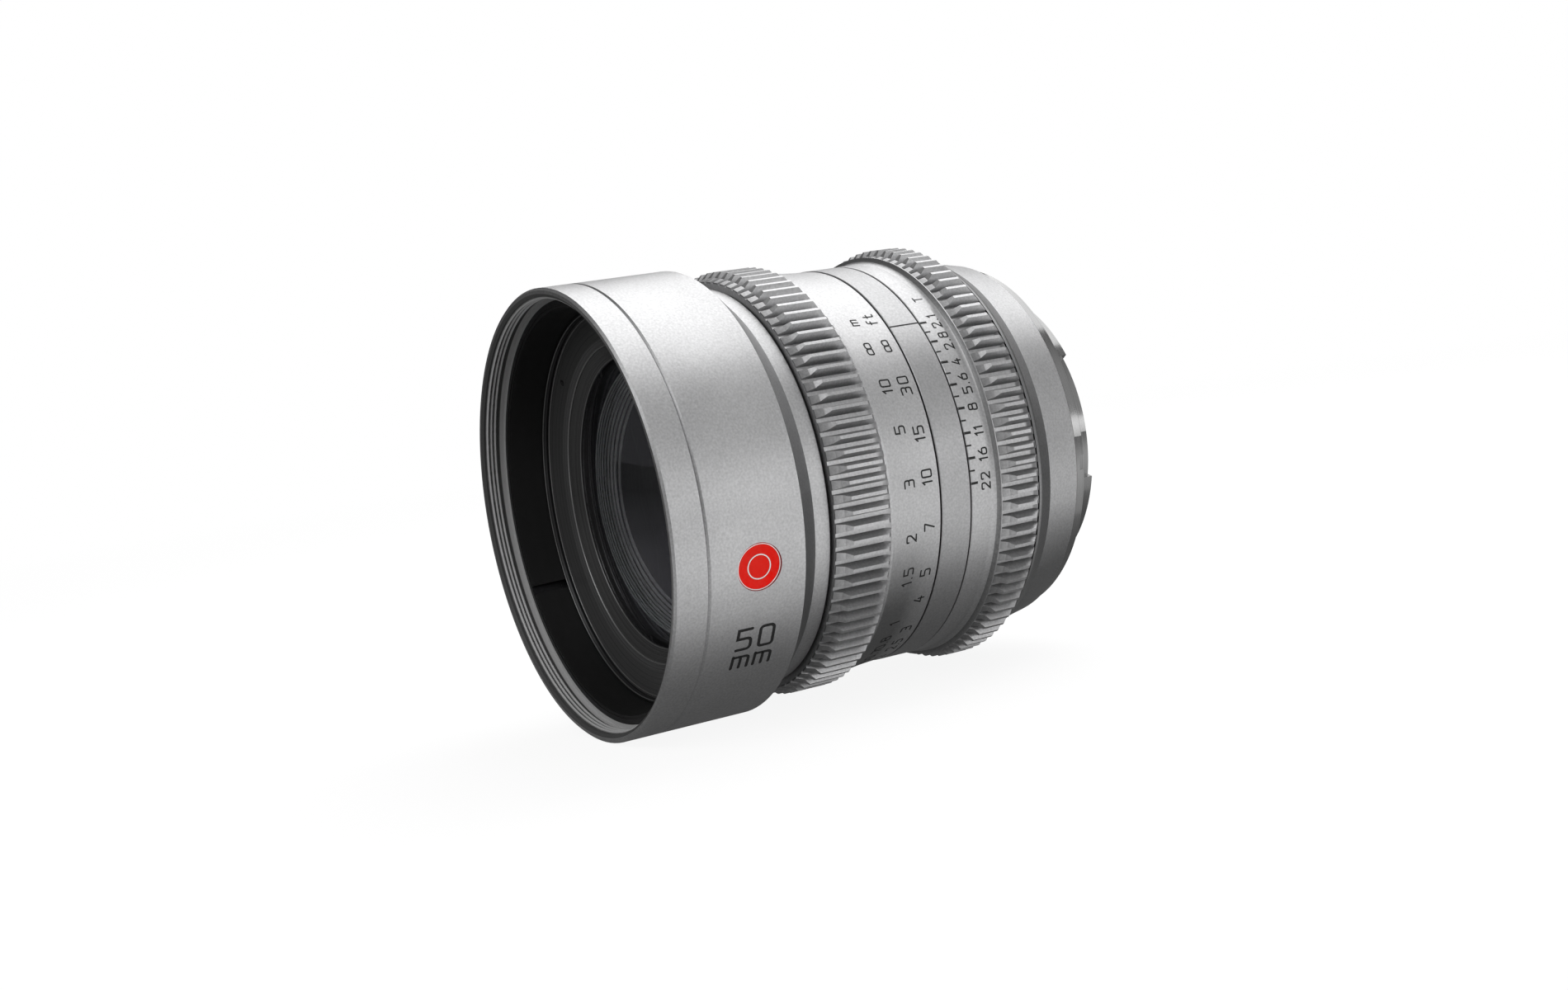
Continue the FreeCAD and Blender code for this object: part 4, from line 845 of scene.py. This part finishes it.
def baffle_ribs():
    """Fine light-trap ribs in the taper behind the front glass, in a pale grey that paints
    highlights on them.
    """
    low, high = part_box("baffle_spacer")
    front = low.y / MM + RIM
    rear = high.y / MM + RIM
    pitch = (RIB_LAST - RIB_FIRST) / RIB_COUNT
    bm = bmesh.new()
    for k in range(RIB_COUNT):
        s = RIB_FIRST + pitch * k
        wall = BAFFLE_MOUTH_R + (BAFFLE_END_R - BAFFLE_MOUTH_R) * (s - front) / (rear - front)
        lathe(bm, [(wall + height, s + along) for height, along in RIB_PROFILE], RING_STEPS)
    finish_piece("baffle_ribs", bm, rib_highlight_grey, "focus_cell", sharp=20.0)


def recess_edges():
    """Fine rounded edges of the rings in the front recess, which catch the light, in a pale grey
    that paints a highlight on them.
    """
    bm = bmesh.new()
    for r, s, size in RECESS_EDGES:
        lathe(bm, [(r + size * math.cos(a), s - size * math.sin(a)) for a in turns(EDGE_SIDES)],
              FINE_RING_STEPS)
    finish_piece("recess_ring_edges", bm, edge_highlight_grey, "focus_cell", sharp=60.0)


def spanner_bevels():
    """Dark bevels round the two spanner holes of the cover ring."""
    bm = bmesh.new()
    front = Vector((0.0, -1.0, 0.0))
    for phi in SPANNER_ANGLES:
        middle = place(SPANNER_R, SPANNER_S, phi)
        out = (middle - place(0.0, SPANNER_S, phi)).normalized()
        sideways = front.cross(out)
        across = out * math.cos(SPANNER_SLOPE) + front * math.sin(SPANNER_SLOPE)
        lift = front * math.cos(SPANNER_SLOPE) - out * math.sin(SPANNER_SLOPE)
        rows = []
        for a in turns(SPANNER_STEPS):
            way = across * math.cos(a) + sideways * math.sin(a)
            rows.append([bm.verts.new(middle + (way * w + lift * h) * MM)
                         for w, h in SPANNER_PROFILE])
        skin_rows(bm, rows, True)
    finish_piece("spanner_hole_bevels", bm, black, "focus_cell")


# ---------------------------------------------------------------- polished glass

SPHERE_RINGS = 24

# Width of the flat rim round a glass, and the radii of its front and rear face. A radius
# is below zero where the middle of the face lies behind its edge.
FRONT_GLASS = (2.73, 120.0, 300.0)
REAR_GLASS = (1.47, 150.0, -200.0)


def sag(bend, r):
    """Depth of a spherical face at radius r; below zero where its middle lies to the rear."""
    return math.copysign(abs(bend) - math.sqrt(bend ** 2 - r ** 2), bend)


def sphere_face(edge_s, clear, bend):
    """Points from the axis out to the edge of a spherical face."""
    radii = [clear * k / SPHERE_RINGS for k in range(SPHERE_RINGS + 1)]
    return [(r, edge_s - sag(bend, clear) + sag(bend, r)) for r in radii]


def polished_element(name, node, body, form):
    """Glass element with unbroken curves, in the place of its CAD solid."""
    rim, front_bend, rear_bend = form
    low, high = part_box(node)
    outer = high.x / MM
    clear = outer - rim
    front_edge = low.y / MM + RIM + max(sag(front_bend, clear), 0.0)
    rear_edge = high.y / MM + RIM + min(sag(rear_bend, clear), 0.0)
    front = sphere_face(front_edge, clear, front_bend)
    rear = sphere_face(rear_edge, clear, rear_bend)
    bm = bmesh.new()
    lathe(bm, front + [(outer, front_edge), (outer, rear_edge)] + rear[::-1], FINE_RING_STEPS)
    piece = finish_piece(name, bm, glass, body, sharp=30.0)
    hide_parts(node)


# ---------------------------------------------------------------- badge and screws

BADGE_FLOOR_R, BADGE_S, BADGE_PHI = 39.25, 15.55, -15.2
BADGE_STEPS = 96

# Name, material, slot and section of each piece of the badge. The points of a section
# are its radius and its height above the pocket's floor.
BADGE_PIECES = (
    ("badge_outer_enamel", enamel, "badge_enamel",
     ((2.2, 0.05), (3.78, 0.05), (3.78, 0.44), (3.74, 0.47), (2.3, 0.47), (2.2, 0.43))),
    ("badge_rim", bright, "silver_anodised",
     ((3.79, 0.05), (3.99, 0.05), (3.99, 0.42), (3.95, 0.5), (3.84, 0.5), (3.79, 0.44))),
    ("badge_inner_ring", bright, "silver_anodised",
     ((1.95, 0.05), (2.19, 0.05), (2.19, 0.46), (2.15, 0.5), (1.99, 0.5), (1.95, 0.46))),
    ("badge_centre_enamel", enamel, "badge_enamel",
     ((0.001, 0.05), (1.94, 0.05), (1.94, 0.43), (1.86, 0.47), (0.001, 0.47))),
)

SCREW_COUNT, SCREW_R, SCREW_PHI = 4, 29.4, 35.0
SCREW_STEPS = 48
LOBES = 6

# Radius, depth and swell of the lobes, from the floor of the recess to the screw's tip.
SCREW_RINGS = ((0.62, 0.55, 0.09), (0.68, 0.02, 0.1), (1.62, 0.0, 0.0), (1.68, 0.03, 0.0),
               (0.8, 0.9, 0.0), (0.8, 4.2, 0.0))


def badge():
    """Plain enamel disc with a bare metal ring, in the barrel's round pocket."""
    middle = place(BADGE_FLOOR_R, BADGE_S, BADGE_PHI)
    outward = (middle - place(0.0, BADGE_S, BADGE_PHI)).normalized()
    back = Vector((0.0, 1.0, 0.0))
    side = back.cross(outward)
    for name, material, slot, section in BADGE_PIECES:
        bm = bmesh.new()
        rows = []
        for a in turns(BADGE_STEPS):
            way = back * math.cos(a) + side * math.sin(a)
            rows.append([bm.verts.new(middle + (way * r + outward * h) * MM)
                         for r, h in section])
        skin_rows(bm, rows, True)
        finish_piece(name, bm, material, "housing", sharp=30.0)


def mount_screw_heads():
    """Countersunk screws with six-lobed recesses."""
    bm = bmesh.new()
    for n in range(SCREW_COUNT):
        centre = place(SCREW_R, RIM, SCREW_PHI + 360.0 * n / SCREW_COUNT)
        rows = []
        for radius, depth, lobe in SCREW_RINGS:
            ring = []
            for a in turns(SCREW_STEPS):
                r = radius + lobe * math.cos(LOBES * a)
                spot = Vector((r * math.cos(a), -depth, r * math.sin(a)))
                ring.append(bm.verts.new(centre + spot * MM))
            rows.append(ring)
        skin_rows(bm, rows, False)
    piece = finish_piece("mount_screws_lobed", bm, screw_steel, "housing",
                         sharp=25.0)
    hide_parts("mount_screws")


# ---------------------------------------------------------------- studio

WHITE = (1.0, 1.0, 1.0, 1.0)

FLOOR_RADIUS = 20.0
FLOOR_SEGMENTS = 64
FLOOR_MIDDLE_Y = -0.05
FLOOR_GAP = 0.0001
FLOOR_PALE = 0.16
FLOOR_ROUGH = 0.9
FLOOR_GLOW = 0.9
FLOOR_FADE = (0.2, 0.9)

# The floor that metal mirrors, with a painted shadow: its brightness under the lens and beside it,
# and how that fades in towards the camera's side and out with distance.
FLOOR_UNDER, FLOOR_BESIDE = 0.1, 0.75
BESIDE_BAND = (0.03, 0.1)
NEAR_LEVEL, NEAR_BAND = 0.2, (0.12, 0.3)

# The white backdrop that metal mirrors: a narrow cone about the camera's direction.
BACKDROP_CONE = (0.95, 0.985)

# The room that metal mirrors: directions, levels and the cosines they fade between.
ROOM_DARK, ROOM_FRONT, ROOM_SIDE, ROOM_BEHIND = 0.1, 0.34, 0.66, 0.3
FRONT_WAY, FRONT_BAND = (0.7, -0.7, 0.15), (0.1, 0.9)
SIDE_WAY, SIDE_BAND = (0.82, 0.47, 0.25), (0.6, 0.95)
BEHIND_WAY, BEHIND_BAND = (-0.55, 0.83, -0.05), (0.55, 0.9)
COATING_SHARE = 0.04

# Lights: name, place, the point they face, size and power.
LENS_MIDDLE = (0.0, -0.04, 0.0)
LIGHTS = (
    ("key_above", (-0.17, 0.28, 0.6), LENS_MIDDLE, (0.85, 0.7), 4.05),
    ("side_card", (0.72, 0.36, 0.03), LENS_MIDDLE, (0.5, 0.14), 0.4),
    ("low_card", (0.16, 0.04, -0.039), (0.16, 0.04, 1.0), (0.23, 0.34), 0.06),
    ("front_card", (0.2, -0.5, 0.45), (0.0, -0.08, 0.0), (0.5, 0.4), 0.85),
)


def in_plain_sight(tree, path):
    """One for rays that come from the eye, straight or through clear glass."""
    direct = combine(tree, "LESS_THAN", path.outputs["Diffuse Depth"], 0.5)
    direct = combine(tree, "MULTIPLY", direct,
                     combine(tree, "LESS_THAN", path.outputs["Glossy Depth"], 0.5))
    through = combine(tree, "MULTIPLY", path.outputs["Is Transmission Ray"], direct)
    return combine(tree, "MAXIMUM", path.outputs["Is Camera Ray"], through)


def toward(tree, direction, low, high, band):
    """Value that runs from low to high as a ray points more nearly in one direction."""
    coords = add(tree, "ShaderNodeTexCoord")
    dot = add(tree, "ShaderNodeVectorMath", operation="DOT_PRODUCT")
    dot.inputs[1].default_value = Vector(direction).normalized()
    tree.links.new(coords.outputs["Generated"], dot.inputs[0])
    return remap(tree, dot.outputs["Value"], low, high, *band)


def floor_disc():
    bm = bmesh.new()
    bmesh.ops.create_circle(bm, cap_ends=True, segments=FLOOR_SEGMENTS, radius=FLOOR_RADIUS)
    data = bpy.data.meshes.new("floor")
    bm.to_mesh(data)
    bm.free()
    floor = bpy.data.objects.new("floor", data)
    floor.location = (0.0, FLOOR_MIDDLE_Y, cad_box[0].z - FLOOR_GAP)
    bpy.context.collection.objects.link(floor)
    return floor


def floor_material():
    """Pale floor. Near the lens it is lit and takes the shadow, further off it is white."""
    m, tree, shader = new_material("studio_floor")
    spot = object_coords(tree)
    length = add(tree, "ShaderNodeVectorMath", operation="LENGTH")
    tree.links.new(spot, length.inputs[0])
    reach = length.outputs["Value"]
    far = remap(tree, reach, 0.0, 1.0, *FLOOR_FADE)
    pale = tint(tree, far, grey(FLOOR_PALE), grey(0.0), 0.0, 1.0)
    tree.links.new(pale, shader.inputs["Base Color"])
    shader.inputs["Roughness"].default_value = FLOOR_ROUGH
    shader.inputs["Specular IOR Level"].default_value = 0.0

    path = add(tree, "ShaderNodeLightPath")
    parts = add(tree, "ShaderNodeSeparateXYZ")
    tree.links.new(spot, parts.inputs[0])
    # In metal the floor glows dim under the lens and bright beside it: a painted shadow.
    beside = remap(tree, parts.outputs["X"], FLOOR_UNDER, FLOOR_BESIDE, *BESIDE_BAND)
    near = remap(tree, reach, 1.0, NEAR_LEVEL, *NEAR_BAND)
    in_metal = combine(tree, "MULTIPLY", path.outputs["Is Glossy Ray"],
                       combine(tree, "MULTIPLY", beside, near))
    level = remap(tree, far, FLOOR_GLOW, 1.0, 0.0, 1.0)
    in_sight = combine(tree, "MULTIPLY", in_plain_sight(tree, path), level)

    glow = add(tree, "ShaderNodeEmission")
    tree.links.new(combine(tree, "MAXIMUM", in_sight, in_metal), glow.inputs["Strength"])
    both = add(tree, "ShaderNodeAddShader")
    tree.links.new(shader.outputs[0], both.inputs[0])
    tree.links.new(glow.outputs[0], both.inputs[1])
    tree.links.new(both.outputs[0], tree.nodes["Material Output"].inputs["Surface"])
    return m


def studio_floor():
    floor = floor_disc()
    floor.data.materials.append(floor_material())


def studio_world():
    """White backdrop in a grey room, which the coatings of the glasses hardly mirror."""
    world = bpy.data.worlds.new("studio")
    bpy.context.scene.world = world
    world.use_nodes = True
    tree = world.node_tree
    path = add(tree, "ShaderNodeLightPath")
    backdrop = toward(tree, CAMERA_AHEAD, 0.0, 1.0, BACKDROP_CONE)
    in_metal = combine(tree, "MULTIPLY", path.outputs["Is Glossy Ray"], backdrop)
    white = combine(tree, "MAXIMUM", in_plain_sight(tree, path), in_metal)

    front = toward(tree, FRONT_WAY, ROOM_DARK, ROOM_FRONT, FRONT_BAND)
    side = toward(tree, SIDE_WAY, ROOM_DARK, ROOM_SIDE, SIDE_BAND)
    behind = toward(tree, BEHIND_WAY, 1.0, ROOM_BEHIND, BEHIND_BAND)
    room = combine(tree, "MULTIPLY", combine(tree, "MAXIMUM", front, side), behind)
    mirrored = combine(tree, "GREATER_THAN", path.outputs["Glossy Depth"], 0.5)
    in_coating = combine(tree, "MULTIPLY", mirrored, path.outputs["Is Transmission Ray"])
    kept = remap(tree, in_coating, 1.0, COATING_SHARE, 0.0, 1.0)
    room = combine(tree, "MULTIPLY", room, kept)

    back = tree.nodes["Background"]
    tree.links.new(combine(tree, "MAXIMUM", white, room), back.inputs["Strength"])
    back.inputs["Color"].default_value = WHITE


def softbox(name, where, target, size, power):
    """Rectangular light that faces a point, and is seen in reflections only."""
    data = bpy.data.lights.new(name, "AREA")
    data.shape = "RECTANGLE"
    data.size, data.size_y = size
    data.energy = power
    lamp = bpy.data.objects.new(name, data)
    lamp.location = where
    lamp.visible_camera = False
    aim = Vector(target) - Vector(where)
    lamp.rotation_mode = "QUATERNION"
    lamp.rotation_quaternion = aim.to_track_quat("-Z", "Y")
    bpy.context.collection.objects.link(lamp)


# ---------------------------------------------------------------- scene

dress_nodes()
photo_camera()
focus_scales()
stop_scale()
index_line()
focal_length_marking()
filter_thread()
baffle_ribs()
recess_edges()
spanner_bevels()
polished_element("front_element_polished", "front_element", "focus_cell", FRONT_GLASS)
polished_element("rear_element_polished", "rear_element", "housing", REAR_GLASS)
badge()
mount_screw_heads()
studio_floor()
studio_world()
for light in LIGHTS:
    softbox(*light)

scene = bpy.context.scene
scene.view_settings.view_transform = "Standard"
